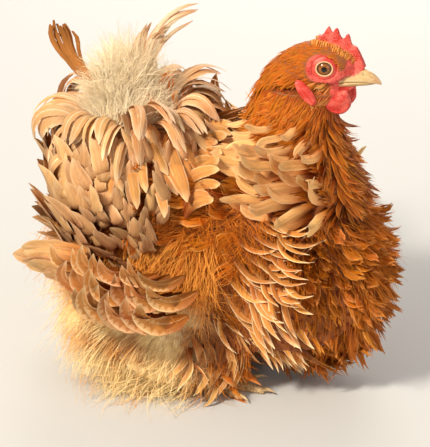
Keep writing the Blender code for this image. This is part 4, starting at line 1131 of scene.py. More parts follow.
def make_comb(settings):
    """The comb's outline as a slab, remeshed, thinned towards its edge and roughened."""
    bm = bmesh.new()
    sides = []
    for y in (-COMB_HALF_THICK, COMB_HALF_THICK):
        sides.append([bm.verts.new(Vector((x * MM, y, z * MM)) + Vector(SHIFT)) for x, z in COMB_OUTLINE])
        bm.faces.new(sides[-1])
    for k, _ in enumerate(COMB_OUTLINE):
        after = (k + 1) % len(COMB_OUTLINE)
        bm.faces.new((sides[0][k], sides[0][after], sides[1][after], sides[1][k]))
    bmesh.ops.triangulate(bm, faces=bm.faces)
    bmesh.ops.recalc_face_normals(bm, faces=bm.faces)
    comb = linked("comb_blade", bpy.data.meshes.new("comb_blade"))
    written(bm, comb)
    with_modifiers(comb, REMESH={"mode": "VOXEL", "voxel_size": 0.45 * MM},
                   SMOOTH={"factor": 0.5, "iterations": 4})
    points = local_points(comb)
    above = smoothstep(0.0, 15 * MM, points[:, 2] - 0.2265 + 0.40 * (points[:, 0] - 0.060))
    points[:, 1] *= 1.15 - 0.62 * above
    grain = np.array([noise.noise(Vector(p) * 900) + 0.6 * noise.noise(Vector(p) * 2100) for p in points])
    points[:, 1] += np.sign(points[:, 1]) * grain * 0.22 * MM
    lean = np.array([noise.noise(Vector((p[0] * 90, 4.0, p[2] * 60))) for p in points])
    points[:, 1] += lean * above * 2.2 * MM
    set_local_points(comb, points)
    finished(comb, flesh_finish("comb", settings, grain=1000.0))
    declare(comb, "red_skin", "comb")


def make_lobes(settings):
    """Wattles with a rolled edge, and ear lobes with a crease down the middle."""
    red = flesh_finish("wattle", settings, tone=1.05, grain=1000.0)
    pale = flesh_finish("ear lobe", settings, tone=1.25, grain=1400.0)
    for side, sign in SIDES:
        for name, (centre, half, roll, pitch), finish in (("wattle", WATTLE, red),
                                                          ("ear_lobe", EAR_LOBE, pale)):
            half = np.array(half) * (1.06, 1.15, 1.06)
            points, faces = ball_arrays(half, segments=56, rings=36)
            away = np.hypot(points[:, 0] / half[0], points[:, 2] / half[2])
            grain = np.array([noise.noise(Vector(p) * 700 + Vector((sign, 0, 0))) for p in points])
            rim = 0.55 * MM * np.exp(-((away - 0.84) / 0.10) ** 2)
            crease = 0.9 * MM * np.exp(-(points[:, 0] / (0.18 * half[0])) ** 2) * (name == "ear_lobe")
            points[:, 1] += np.sign(points[:, 1]) * (rim * (away < 0.97) - crease + grain * 0.18 * MM)
            if name == "wattle":
                points[:, 1] += 1.2 * MM * np.sin(points[:, 2] * 260 + points[:, 0] * 120) * (away**2)
                narrow = smoothstep(-0.2 * half[2], half[2], points[:, 2])
                points[:, 0] = points[:, 0] * (1 - 0.55 * narrow) + 0.40 * half[0] * narrow
            turn = np.array(Matrix.Rotation(math.radians(roll * sign), 3, "X")
                            @ Matrix.Rotation(math.radians(pitch), 3, "Y"))
            points = points @ turn.T + mirrored(centre, sign)
            lobe = mesh_object(f"{name}_skin_{side}", points, faces, finish)
            declare(recalculated(lobe), "red_skin", f"{name}_{side}")


def papillae_group():
    """Domes of random size, set apart from each other over a surface."""
    tree, first, out = new_group(
        "papillae", [("Geometry", "Geometry"), ("Spacing", "Float"), ("Dome", "Float"), ("Seed", "Int"),
                     ("Finish", "Material")], [("Geometry", "Geometry")], "GeometryNodeTree")
    given = first.outputs
    spots = node(tree, "GeometryNodeDistributePointsOnFaces",
                 {"Mesh": given["Geometry"], "Distance Min": given["Spacing"], "Density Max": 1.2e6,
                  "Seed": given["Seed"]}, distribute_method="POISSON").outputs
    dome = node(tree, "GeometryNodeMeshIcoSphere", {"Radius": given["Dome"], "Subdivisions": 1}).outputs[0]
    size = node(tree, "FunctionNodeRandomValue", {2: 0.55, 3: 1.15, 8: given["Seed"]}, data_type="FLOAT")
    put = node(tree, "GeometryNodeInstanceOnPoints",
               {"Points": spots["Points"], "Instance": dome, "Rotation": spots["Rotation"],
                "Scale": size.outputs[1]}).outputs[0]
    real = node(tree, "GeometryNodeRealizeInstances", {"Geometry": put}).outputs[0]
    smooth = node(tree, "GeometryNodeSetShadeSmooth", {0: real}).outputs[0]
    last = node(tree, "GeometryNodeSetMaterial", {"Geometry": smooth, "Material": given["Finish"]})
    fill(tree, out, {0: last.outputs[0]})
    return tree


def make_papillae(settings):
    """Small domes crowded over the bare face."""
    skin = bpy.data.objects["skin"]
    bare = np.empty(len(skin.data.vertices), np.float32)
    skin.data.attributes["bare"].data.foreach_get("value", bare)
    corners = corner_indices(skin)
    used, faces = np.unique(corners[bare[corners].min(axis=1) > 0.55], return_inverse=True)
    finish = flesh_finish("papillae", settings)
    host = mesh_object("papillae", local_points(skin)[used], faces.reshape(-1, 3), finish)
    modifier = host.modifiers.new("papillae", "NODES")
    modifier.node_group = papillae_group()
    values = {"Spacing": 0.75 * MM, "Dome": 0.42 * MM, "Seed": settings.seed, "Finish": finish}
    for item in modifier.node_group.interface.items_tree:
        if item.in_out == "INPUT" and item.name in values:
            modifier[item.identifier] = values[item.name]
    declare(with_modifiers(host), "red_skin")


def scaled_tube(path, radii, sides, scute, ridge):
    """Rings along a path, with a ridge at every scute's edge over the upper half."""
    path = np.array(path)
    steps = np.r_[0, np.cumsum(np.linalg.norm(np.diff(path, axis=0), axis=1))]
    fine = np.linspace(0, steps[-1], max(12, int(steps[-1] / (scute / 4))))
    middles = np.stack([np.interp(fine, steps, path[:, k]) for k in range(3)], axis=-1)
    radius = np.interp(fine, steps, radii)
    ahead = unit(np.gradient(middles, axis=0))
    across = np.cross(ahead, UP)
    across = unit(np.where(np.linalg.norm(across, axis=1, keepdims=True) < 0.1, (0.0, 1.0, 0.0), across))
    upward = np.cross(across, ahead)
    turn = 2 * math.pi * np.arange(sides) / sides
    seams = np.abs(np.sin(math.pi * fine / scute))[:, None] ** 0.5 - 0.6
    swell = 1 + ridge * seams * np.clip(np.sin(turn) + 0.4, 0, 1)
    ring = across[:, None] * np.cos(turn)[None, :, None] + upward[:, None] * np.sin(turn)[None, :, None]
    return middles[:, None] + ring * (radius[:, None] * swell)[:, :, None]


def make_feet(settings):
    """Scaled shanks and toes with flat soles, and curved claws."""
    scales, horn = foot_finish(), horn_finish("claw horn", settings)
    for side, sign in SIDES:
        foot_y = sign * FOOT_Y
        tubes = [scaled_tube([(FOOT_X, foot_y, 2 * MM), (FOOT_X - 0.004, foot_y, SHANK_TOP + 0.012)],
                             (SHANK_RADIUS, SHANK_RADIUS * 1.1), sides=20, scute=3.2 * MM, ridge=0.07)]
        claws, along = [], []
        for angle, length in zip(TOE_ANGLES, TOE_LENGTHS):
            a = math.radians(angle) * sign
            ray = np.array((math.cos(a), math.sin(a), 0.0))
            start = np.array((FOOT_X, foot_y, TOE_RADIUS - SOLE))
            tubes.append(scaled_tube([start, start + ray * length * 0.55, start + ray * length],
                                     (TOE_RADIUS * 1.05, TOE_RADIUS, 0.74 * TOE_RADIUS),
                                     sides=18, scute=2.4 * MM, ridge=0.10))
            root = start + ray * (length - 1.5 * MM) + UP * 0.6 * MM
            bent = [root + ray * CLAW_LENGTH * 1.1 * s + UP * (1.2 * math.sin(2.4 * s) - 1.4 * s * s) * MM
                    for s in np.linspace(0, 1, 9)]
            radii = CLAW_RADIUS * np.linspace(1, 0.12, 9)
            claws.append(tube_arrays(scaled_tube(bent, radii, CLAW_SIDES, scute=3 * MM, ridge=0.0)))
            along.append(np.repeat(np.linspace(0, 1, len(claws[-1][0]) // CLAW_SIDES), CLAW_SIDES))
        points, faces = joined([tube_arrays(rings) for rings in tubes])
        points[:, 2] = np.maximum(points[:, 2], 0.0)
        foot = recalculated(mesh_object(f"shank_and_toes_{side}", points, faces, scales))
        declare(foot, "foot_scales", f"foot_{side}")
        points, faces = joined(claws)
        points[:, 2] = np.maximum(points[:, 2], 0.1 * MM)
        nails = mesh_object(f"claws_{side}", points, faces, horn, values={"along": np.concatenate(along)})
        declare(recalculated(nails), "claw_horn", *[f"claw_{side}_{k + 1}" for k in range(len(TOE_ANGLES))])


# Plumage.


def drawing(settings, number):
    """The random draw of one region."""
    return np.random.default_rng(100 * settings.seed + number)


def lay(settings, draw, name, slot, look, groups, **form):
    """Grows groups of feathers of one look as a piece and hands it to the frame."""
    finish = bpy.data.materials.get(look)
    if finish is None:
        finish = feather_finish(look) if look in FEATHER_LOOKS else down_finish(look, settings)
    form.setdefault("thickness", settings.vane_thickness)
    declare(grow(name, finish, draw, groups, **form), slot)


def lay_locks(settings, draw, name, slot, look, groups, locks, spread=6.0, own=1.6, stray=1.0, **form):
    """Lays groups as one piece, with each feather split into locks of barbs."""
    groups = [split(draw, sizes, locks, spread, own, stray) for sizes in groups]
    lay(settings, draw, name, slot, look, groups, ring=STRAND_RING, **form)


def lay_down(settings, draw, name, look, base, strands, spread, width=1.0, **form):
    """Lays a group as down, a tuft of strands for each feather; width is a share of the full strand's."""
    tufts = tufted(draw, base, strands, spread, settings.strand_width * width)
    form = {"segments": 3, "thickness": 0.24 * MM, "rag": 0.0, "wave": 0.10, **form}
    lay(settings, draw, name, "down", look, [tufts], ring=STRAND_RING, **form)


def chosen(sizes, mask):
    """The feathers of a group for which mask holds."""
    count = len(sizes["root"])
    return {key: (value[mask] if isinstance(value, np.ndarray) and len(value) == count else value)
            for key, value in sizes.items()}


def make_head_feathers(settings):
    """Short close feathers from the face back over skull and cheeks, longer towards the neck."""
    draw = drawing(settings, 1)

    def where(points, parts):
        near = np.minimum(parts["head"], parts["neck"]) < 4 * MM
        return near & (points[:, 2] > 0.186) & (bare_face(points) < 0.35)

    roots = scattered(settings, draw, where, 1.35 * MM)
    low = smoothstep(0.215, 0.197, roots[:, 2])
    nape = smoothstep(0.062, 0.036, roots[:, 0])
    lie = columns(-1.0 + 0.35 * low, 0.25 * side_of(roots) * low, -0.15 - 1.0 * low - 0.9 * nape)
    length = np.interp(roots[:, 0], (0.030, 0.045, 0.065, 0.085), (0.0115, 0.0090, 0.0060, 0.0040))
    length = length + 0.008 * low
    width = np.interp(roots[:, 0], (0.040, 0.080), (0.0016, 0.0012))
    curl = -12 * np.minimum(100 * length, 1) * (1 - 0.8 * low)
    close = field(draw, roots, lie, length, width, rise=12 + 8 * low, curl=curl, cup=0.3, wander=0.6)
    cheek = np.linalg.norm((roots - (0.0690, 0.0, 0.2015)) * (1, 0, 1), axis=1) < 7.5 * MM
    for name, mask, look in (("head_coat", ~cheek, "head feathers"), ("cheek_coat", cheek, "cheek feathers")):
        lay(settings, draw, name, "head_feathers", look, [chosen(close, mask)], segments=4,
            thickness=0.20 * MM)
    # Gold tufts lie up against the foot of the comb.
    count = 34
    share, sign = np.tile(np.linspace(0, 1, count), 2), np.repeat((1.0, -1.0), count)
    spots = columns(0.0620 + 0.0240 * share, sign * 4.2 * MM, 0.2290 - 0.0095 * share)
    roots = settled(spots + draw.normal(0, 0.8 * MM, spots.shape))
    tufts = field(draw, roots, columns(0.15, -0.8 * sign, 1.0), length=6.0 * MM, width=2.6 * MM, rise=22,
                  curl=40, cup=0.3, outline="strap", wander=1.8)
    lay_locks(settings, draw, "comb_tufts", "head_feathers", "comb tufts", [tufts], locks=3, spread=26,
              own=0.6, segments=5, thickness=0.24 * MM)


def make_hackle(settings):
    """Neck feathers: fine ones above, long broad ones that sweep back, narrow curled ones in front."""
    draw, slot = drawing(settings, 2), "hackle_feathers"

    def turned(points):
        """Turn about the neck's own line, seen from above."""
        return around(points, NECK_CENTRE * (1, 1, 0) + UP * points[:, 2:3], signed=True)[0]

    def where(points, parts):
        return least(parts, "neck", ("trunk", "head", "wing", "thigh")) & (points[:, 2] < 0.199)

    def upper(points, parts):
        neck = where(points, parts) & ((points[:, 2] > 0.160) | (np.abs(turned(points)) < 35))
        nape = (np.minimum(parts["head"], parts["neck"]) < 4 * MM) & (points[:, 0] < 0.068)
        return neck | (nape & (points[:, 2] > 0.190) & (points[:, 2] < 0.208))

    def flow(roots):
        """Lie of the neck's feathers, and how far each belongs to the sides rather than the front."""
        turn = turned(roots)
        back = smoothstep(20, 38, np.abs(turn)) * smoothstep(185, 160, np.abs(turn))
        lift = np.interp(roots[:, 2], (0.120, 0.140, 0.157, 0.173, 0.190), (0.10, 0.10, -0.10, -0.42, -0.80))
        front = np.maximum(0.0, np.cos(np.radians(turn)))
        lie = columns(0.60 * front * (1 - back) - 1.1 * back, 0.35 * np.sin(np.radians(turn)) * front,
                      lift * back - 0.95 * (1 - back))
        return lie, back

    roots = scattered(settings, draw, upper, 2.4 * MM)
    lie, _ = flow(roots)
    high = smoothstep(0.178, 0.200, roots[:, 2])
    fine = field(draw, roots, lie + draw.normal(0, 0.10, lie.shape), length=0.023 - 0.010 * high,
                 width=0.0042 - 0.0014 * high, rise=10 - 4 * high, curl=32 - 34 * high, bend=(0.35, 1.0),
                 cup=0.3, outline="lance")
    lay_locks(settings, draw, "neck_coat", slot, "neck feathers", [fine], locks=2, spread=8, own=1.2,
              segments=6, thickness=0.24 * MM)

    roots = scattered(settings, draw, where, 4.6 * MM)
    roots = roots[roots[:, 2] < 0.150]
    lie, back = flow(roots)
    under = field(draw, roots[back > 0.5], lie[back > 0.5], length=0.017, width=0.0050, rise=16, curl=24,
                  outline="lance", wander=1.8)
    # The feathers under the broad hackle take the throat's deeper finish: painted shade under the hackle.
    lay_locks(settings, draw, "hackle_down", slot, "throat feathers in painted shade", [under], locks=3, spread=20, own=1.2,
              segments=4, thickness=0.24 * MM)

    roots = scattered(settings, draw, where, 9.0 * MM, 2.0)
    lie, back = flow(roots)
    broad = (back > 0.90) & (roots[:, 2] > 0.112) & (roots[:, 2] < 0.184)
    broad &= (roots[:, 0] > 0.038) | (roots[:, 2] > 0.148)
    roots, lie = roots[broad], lie[broad]
    lie = lie + draw.normal(0, 0.07, lie.shape)
    length = np.interp(roots[:, 2], (0.120, 0.157, 0.173, 0.185), (0.036, 0.043, 0.039, 0.027))
    length = length * smoothstep(-0.010, 0.045, roots[:, 0])
    width = np.interp(roots[:, 2], (0.155, 0.184), (0.0080, 0.0058))
    sign = side_of(roots)
    waves = field(draw, roots, lie, length, width, rise=16, curl=44, bend=(0.25, 1.0), cup=0.5,
                  sweep=30 * sign, roll=-26 * sign, outline="blade", wander=0.8)
    lay(settings, draw, "hackle", slot, "hackle feathers", [waves], segments=12, rag=0.08, wave=0.055)

    roots = scattered(settings, draw, where, 5.2 * MM)
    lie, back = flow(roots)
    front = (back < 0.75) & (roots[:, 2] < 0.186)
    roots, lie = roots[front], lie[front]
    lie = lie + draw.normal(0, 0.06, lie.shape)
    sign = side_of(roots)
    narrow = field(draw, roots, lie, length=0.023, width=0.0050, rise=12, curl=50, bend=(0.2, 1.0), cup=0.35,
                   sweep=-30 * sign, roll=40 * sign, outline="lance", wander=1.4)
    # Their finish is deeper than the neck's: painted shade on the front of the neck.
    lay_locks(settings, draw, "throat_coat", slot, "throat feathers in painted shade", [narrow], locks=3, segments=8)


def make_breast(settings):
    """Narrow feathers down the sides of the breast, seen half edge on, and looser curls in front."""
    draw = drawing(settings, 3)

    def where(points, parts):
        turn, tilt = around(points, TRUNK_CENTRE)
        ahead = (turn < 114) & (tilt > -80) & (points[:, 0] > -0.006)
        ahead &= (points[:, 2] < 0.126) | (points[:, 0] > 0.040)
        trunk = ahead & least(parts, "trunk") & (points[:, 2] < 0.150)
        front_thigh = least(parts, "thigh") & (points[:, 0] > THIGH_FRONT)
        return trunk | (front_thigh & (points[:, 2] > 0.016) & (np.abs(points[:, 1]) > 0.020))

    down = scattered(settings, draw, where, 4.1 * MM)
    turn, _ = around(down, TRUNK_CENTRE)
    base = field(draw, down, columns(0.25 * smoothstep(20, 66, turn), 0.0, -1.0), length=0.021, rise=30,
                 curl=24, wander=1.4)
    lay_down(settings, draw, "breast_down", "breast down", base, strands=5, spread=0.26, width=0.8)

    roots = scattered(settings, draw, where, 4.9 * MM)
    turn, tilt = around(roots, TRUNK_CENTRE)
    flank, upper = smoothstep(12, 54, turn), smoothstep(-40, 30, tilt)
    lie = columns(flank * (0.20 + 0.60 * upper), 0.0, -1.0 + 0.45 * upper * flank)
    lie = lie + draw.normal(0, 0.12, lie.shape) * (1.9 - flank[:, None])
    side = (flank > 0.42) & (roots[:, 0] > np.interp(roots[:, 2], FLANK_EDGE[:, 0], FLANK_EDGE[:, 1]))
    edge = side_of(roots)[side]
    length = np.interp(roots[side, 2], (0.020, 0.060), (0.026, 0.040))
    sweep = -(46 + 16 * upper[side]) * edge
    narrow = field(draw, roots[side], lie[side], length, width=0.15 * length, rise=18, curl=30, cup=0.45,
                   bend=(0.30, 1.0), sweep=sweep, roll=54 * edge, outline="lance", wander=0.9)
    lay(settings, draw, "breast_sides", "body_feathers", "flank feathers", [narrow], segments=12, rag=0.08,
        wave=0.03)

    front = flank <= 0.42
    low = smoothstep(0.095, 0.040, roots[front, 2])
    lie = lie[front] + np.outer(0.5 * low, (1, 0, 0))
    loose = field(draw, roots[front], lie, length=0.022 + 0.014 * low, width=0.0074, rise=10 + 15 * low,
                  curl=62 - 30 * low, bend=(0.20, 1.0), cup=0.45, roll=38 * draw.choice((-1, 1), len(lie)),
                  outline="blade", wander=2.0)
    # The front's finish is deeper than the flank's: painted shade on the front of the breast.
    lay_locks(settings, draw, "breast_front", "body_feathers", "breast feathers in painted shade", [loose], locks=4, spread=8,
              segments=6, rag=0.15, wave=0.04)


# Roots of the column of curled feathers above the left wing, from the wing up to the middle of the back.
SHOULDER_LINE = np.array(((0.0020, 0.0520, 0.1290), (-0.0024, 0.0353, 0.1441), (-0.0035, 0.0235, 0.1516),
                          (-0.0029, 0.0040, 0.1555)))


def make_shoulders(settings):
    """Curled feathers above each wing that arch up and bend forward at their tips."""
    draw = drawing(settings, 4)
    groups, count = [], 15
    knots = np.linspace(0, 1, len(SHOULDER_LINE))
    for _, sign in SIDES:
        share = np.linspace(0, 1, count) + draw.uniform(-0.4, 0.4, count) / count
        spots = columns(*(np.interp(share, knots, SHOULDER_LINE[:, k]) for k in range(3)))
        roots = settled((spots + columns(draw.uniform(-0.008, 0.0, count), 0.0, 0.0)) * (1, sign, 1))
        facing = np.tile(unit(np.array((0.10, 0.80 * sign, 0.55))), (count, 1))
        groups.append(field(draw, roots, (0.30, -0.25 * sign, 0.80), length=0.031, width=0.0070, rise=16,
                            curl=34, sweep=84 * sign, cup=0.50, bend=(0.05, 0.95), outline="blade",
                            wander=0.9, normals=facing))
    lay(settings, draw, "shoulders", "hackle_feathers", "shoulder feathers", groups, segments=12, rag=0.06)


def saddle_angles(points):
    """Angle off the saddle's axis in degrees, how far ahead each point lies, and the way out from it."""
    away = unit(points - CUSHION_CENTRE)
    polar = np.degrees(np.arccos(np.clip(away @ SADDLE_AXIS, -1, 1)))
    outward = unit(away - np.outer(away @ SADDLE_AXIS, SADDLE_AXIS))
    return polar, outward @ np.cross((0.0, 1.0, 0.0), SADDLE_AXIS), outward


def make_saddle(settings):
    """Pointed feathers outward from the root of the tail: arched over above, hooked up like scales below."""
    draw = drawing(settings, 5)

    def where(points, parts):
        polar, ahead, _ = saddle_angles(points)
        front = 0.004 - 0.026 * smoothstep(0.016, 0.036, np.abs(points[:, 1]))
        cushion = (polar < 116 - 26 * np.maximum(ahead, 0)) & (points[:, 0] < front) & (points[:, 2] < 0.172)
        others = ("neck", "wing", "thigh")
        return cushion & (least(parts, "trunk", others) | least(parts, "tail", others))

    roots = scattered(settings, draw, where, 5.0 * MM)
    polar, ahead, outward = saddle_angles(roots)
    tilt = np.radians(polar)[:, None]
    lie = outward * np.cos(tilt) - SADDLE_AXIS * np.sin(tilt) + draw.normal(0, 0.10, roots.shape)
    arched = polar < 40 + 24 * np.maximum(ahead, 0) + 8 * draw.uniform(-1, 1, len(roots))
    drooped = field(draw, roots[arched], lie[arched], length=0.040, width=0.0084, rise=36, curl=-36,
                    bend=(0.05, 0.95), cup=0.30, outline="blade", wander=1.2)
    rear = smoothstep(-0.025, -0.085, roots[:, 0])
    size = (draw.uniform(0.72, 1.05, len(roots)) + 0.38 * rear)[~arched]
    rear = rear[~arched]
    hooked = field(draw, roots[~arched], lie[~arched], length=(0.039 - 0.006 * rear) * size,
                   width=(0.0088 + 0.0030 * rear) * size, rise=30 - 8 * rear, curl=166, bend=(0.22, 0.58),
                   cup=-0.55, outline="drop", wander=1.4)
    lay(settings, draw, "back_arcs", "body_feathers", "back feathers", [drooped], segments=11)

    down = scattered(settings, draw, where, 4.0 * MM)
    base = field(draw, down, (-0.3, 0.0, 1.0), length=0.014, rise=46, curl=60, wander=2.0)
    lay_down(settings, draw, "saddle_down", "saddle down", base, strands=5, spread=0.5)

    for side, sign in SIDES:
        half = chosen(hooked, hooked["root"][:, 1] * sign >= 0)
        lay(settings, draw, f"saddle_{side}", "body_feathers", "saddle feathers", [half], segments=11)


def make_down(settings):
    """Soft down: orange on the bows of the wings, cream on thighs and abdomen, ash round the tail."""
    draw = drawing(settings, 6)
    axis = unit(TAIL_TIP - TAIL_BASE)
    for side, sign in SIDES:

        def bow(points, parts):
            turn, tilt = around(points, TRUNK_CENTRE)
            arm = least(parts, "wing") & (points[:, 0] > -0.040)
            back = (turn > 50) & (tilt > 0) & least(parts, "trunk")
            back &= (points[:, 0] > -0.030) & (points[:, 0] < 0.044)
            return (arm | back) & (points[:, 2] > 0.070) & (points[:, 1] * sign > 0)

        def under(points, parts):
            on_thigh = least(parts, "thigh") & (points[:, 0] < THIGH_FRONT + 0.012)
            belly = least(parts, "trunk") & (points[:, 2] < 0.110) & (points[:, 0] < 0.012)
            return (on_thigh | belly) & (points[:, 1] * sign >= 0)

        roots = scattered(settings, draw, bow, 3.2 * MM)
        base = field(draw, roots, (-0.75, 0.0, -0.5), length=0.015, rise=38, curl=20, wander=1.2)
        lay_down(settings, draw, f"bow_down_{side}", "orange down", base, strands=10, spread=0.28, width=0.7)
        roots = scattered(settings, draw, bow, 11.0 * MM)
        loose = field(draw, roots, (-0.85, 0.0, -0.35), length=0.026, width=0.0110, rise=26, curl=50,
                      bend=(0.2, 1.0), cup=0.4, wander=3.0)
        lay_locks(settings, draw, f"bow_plumes_{side}", "wing_feathers", "bow plumes", [loose], locks=8,
                  spread=26, own=1.2, stray=2.0, segments=6, thickness=0.26 * MM, rag=0.2, wave=0.05)
        roots = scattered(settings, draw, under, 3.9 * MM)
        x, _, z = roots.T
        rear = smoothstep(-0.030, -0.085, x)
        lobe = np.sin(95 * x + 50 * z + sign) * np.sin(110 * z - 40 * x)
        low = smoothstep(0.075, 0.035, z) * smoothstep(0.002, -0.022, x)
        length = (0.034 + 0.022 * rear * smoothstep(0.030, 0.080, z) + 0.012 * low) * (1 + 0.16 * lobe)
        base = field(draw, roots, columns(-0.25 - 0.25 * low + 0.45 * lobe, 0.0, -1.0), length,
                     rise=44 + 6 * rear + 10 * low + 10 * lobe, curl=20)
        lay_down(settings, draw, f"thigh_down_{side}", "pale down", base, strands=10, spread=0.24,
                 thickness=0.28 * MM, wave=0.07)

    def rump(points, parts):
        return least(parts, "tail", ("neck", "wing", "thigh")) & ((points - TAIL_BASE) @ axis > 0.016)

    roots = scattered(settings, draw, rump, 3.0 * MM)
    front = smoothstep(-0.082, -0.046, roots[:, 0])
    lie = axis + 0.5 * outward_of(roots) + columns(0.75 * front - 0.10, 0.0, 0.0)
    base = field(draw, roots, lie, length=0.020 + 0.014 * front, rise=30 - 8 * front, curl=56 - 34 * front,
                 wander=1.8)
    lay_down(settings, draw, "tail_down", "pale down", base, strands=9, spread=0.30, width=0.85, segments=4,
             wave=0.08)


def on_wing(along, upward, out, sign):
    """Points of the folded wing on one side, from shares of its half-axes."""
    cos, sin = math.cos(WING_DROOP), math.sin(WING_DROOP)
    x, z = np.asarray(along) * WING_HALF[0], np.asarray(upward) * WING_HALF[2]
    place = columns(cos * x - sin * z, sign * out * WING_HALF[1], sin * x + cos * z)
    return mirrored(WING_CENTRE, sign) + place


# Rows of wing feathers. Each: how many, roots of the first and the last as shares of the wing's half-axes,
# depth in it, length, width, rise, curl and forward sweep. After them, for all rows of a kind: lies of the
# first and the last, and where the feathers bend.
QUILL_ROWS = (
    (10, (-0.70, -0.95), (-0.70, 0.30), 0.20, 0.043, 0.0120, 8, 22, 0),
)
QUILL_LIES, QUILL_BEND = ((-1, 0.45), (-1, 0.08)), (0.3, 1.0)
COVERT_ROWS = (
    (7, (-0.55, -1.05), (0.40, -1.30), 0.55, 0.053, 0.0135, 20, 22, 124),
    (8, (-0.65, -0.55), (0.55, -0.90), 0.80, 0.044, 0.0120, 20, 24, 124),
    (8, (-0.70, 0.10), (0.50, -0.35), 0.95, 0.034, 0.0100, 20, 26, 120),
)
COVERT_LIES, COVERT_BEND = ((-1, -0.30), (-1, -0.65)), (0.05, 0.85)


def wing_row(draw, sign, row, lies, **form):
    """The feathers of one row of a wing."""
    count, first, last, depth, length, width, rise, curl, sweep = row
    share = np.linspace(0, 1, count) + draw.uniform(-0.3, 0.3, count) / count
    along, upward = (np.interp(share, (0, 1), ends) for ends in zip(first, last))
    ahead, up = (np.interp(share, (0, 1), ends) for ends in zip(*lies))
    return field(draw, settled(on_wing(along, upward, depth, sign)), columns(ahead, 0.0, up), length, width,
                 rise, curl, sweep * sign, normals=np.tile((0.0, sign, 0.0), (count, 1)), **form)


def make_wings(settings):
    """Pale quills at the rear and scooped coverts that curl outward."""
    draw = drawing(settings, 7)
    for side, sign in SIDES:
        for kind, rows, lies, bend, outline, cup in (
                ("quills", QUILL_ROWS, QUILL_LIES, QUILL_BEND, "strap", 0.15),
                ("coverts", COVERT_ROWS, COVERT_LIES, COVERT_BEND, "lance", -0.60)):
            groups = [wing_row(draw, sign, row, lies, bend=bend, outline=outline, cup=cup) for row in rows]
            lay(settings, draw, f"wing_{kind}_{side}", "wing_feathers", "wing " + kind, groups, segments=14)


# Looped quills of one side. Each: root, lie, normal, length, width and curl.
TAIL_LOOPS = (
    ((-0.0720, 0.018, 0.160), (-0.70, 0.35, 0.62), (0.60, 0.1, 0.78), 0.070, 0.0175, -138),
    ((-0.0760, 0.006, 0.156), (-0.86, 0.15, 0.48), (0.50, 0.1, 0.86), 0.060, 0.0150, -118),
    ((-0.0640, 0.032, 0.152), (-0.50, 0.70, 0.50), (0.50, 0.1, 0.86), 0.056, 0.0140, -130),
)
# Fans of quills. Each: how many on a side, height on the tail, climb and last turn in degrees, and scale.
TAIL_FANS = ((10, 0.021, 54, 128, 1.0), (12, 0.016, 36, 174, 0.92), (10, 0.008, 16, 174, 0.82))
# Free plumes. Each: root, lie, length, width, curl and sweep. Their broad sides look to the right.
PLUME_FACING = np.array((0.30, -0.80, 0.30))
RUST_PLUMES = (
    ((-0.0640, -0.002, 0.170), (-0.70, 0.0, 0.71), 0.064, 0.0150, 12, -30),
)
GREY_PLUMES = (
    ((-0.0500, -0.004, 0.172), (0.30, 0.0, 0.95), 0.074, 0.0095, 14, -54),
    ((-0.0505, 0.000, 0.174), (0.22, 0.0, 0.97), 0.062, 0.0085, 30, -36),
    ((-0.0520, 0.004, 0.176), (0.08, 0.0, 0.99), 0.054, 0.0075, 16, -24),
)


def make_tail(settings):
    """Quills that fan from the root of the tail, shorter outwards, under three looped ones on each side.

    One broad rust plume and three narrow grey ones stand free above them.
    """
    draw = drawing(settings, 8)
    groups = []
    for _, sign in SIDES:
        roots, lie, normals = (np.array([mirrored(row[k], sign) for row in TAIL_LOOPS]) for k in range(3))
        length, width, curl = np.array([row[3:] for row in TAIL_LOOPS]).T
        groups.append(field(draw, roots, lie, length, width, rise=8, curl=curl, bend=(0.15, 1.0), cup=0.3,
                            wander=0.8, normals=unit(normals)))
    axis = unit(TAIL_TIP - TAIL_BASE)
    for _, sign in SIDES:
        for count, height, climb, last_turn, scale in TAIL_FANS:
            turn = np.radians(np.linspace(4, last_turn, count) + draw.uniform(-9, 9, count))
            away = columns(np.cos(turn), sign * np.sin(turn), 0.0)
            slope = np.radians(climb + draw.uniform(-16, 16, count))[:, None]
            length = np.interp(np.degrees(turn), (0, 60, 128), (0.052, 0.056, 0.054))
            length = length * draw.uniform(0.68, 1.1, count) * scale
            roots = settled(TAIL_BASE + axis * height + away * 0.026)
            lie = away * np.cos(slope) + UP * np.sin(slope)
            above = UP * np.cos(slope) - away * np.sin(slope)
            groups.append(field(draw, roots, lie, length, width=0.0104 * scale, rise=8, curl=-112,
                                bend=(0.15, 1.0), cup=0.35, outline="blade", wander=1.8, normals=above))
    free = []
    for rows, outline in ((RUST_PLUMES, "club"), (GREY_PLUMES, "broad")):
        roots, lie = (np.array([row[k] for row in rows]) for k in (0, 1))
        length, width, curl, sweep = np.array([row[2:] for row in rows]).T
        free.append(field(draw, roots, lie, length, width, curl=curl, sweep=sweep, bend=(0.45, 1.0), cup=0.25,
                          outline=outline, wander=0.3,
                          normals=np.tile(unit(PLUME_FACING), (len(rows), 1))))
    # Each kind: its groups, and the locks, spread, own and stray that its quills are split by.
    for kind, sizes, *barbs in (("tail", groups, 3, 3, 1.6, 0.4), ("rust", free[:1], 12, 6, 2.6, 2.0),
                                ("grey", free[1:], 5, 3, 1.7, 1.0)):
        lay_locks(settings, draw, kind + "_quills", "tail_feathers", kind + " quills", sizes, *barbs,
                  segments=13, rag=0.15)


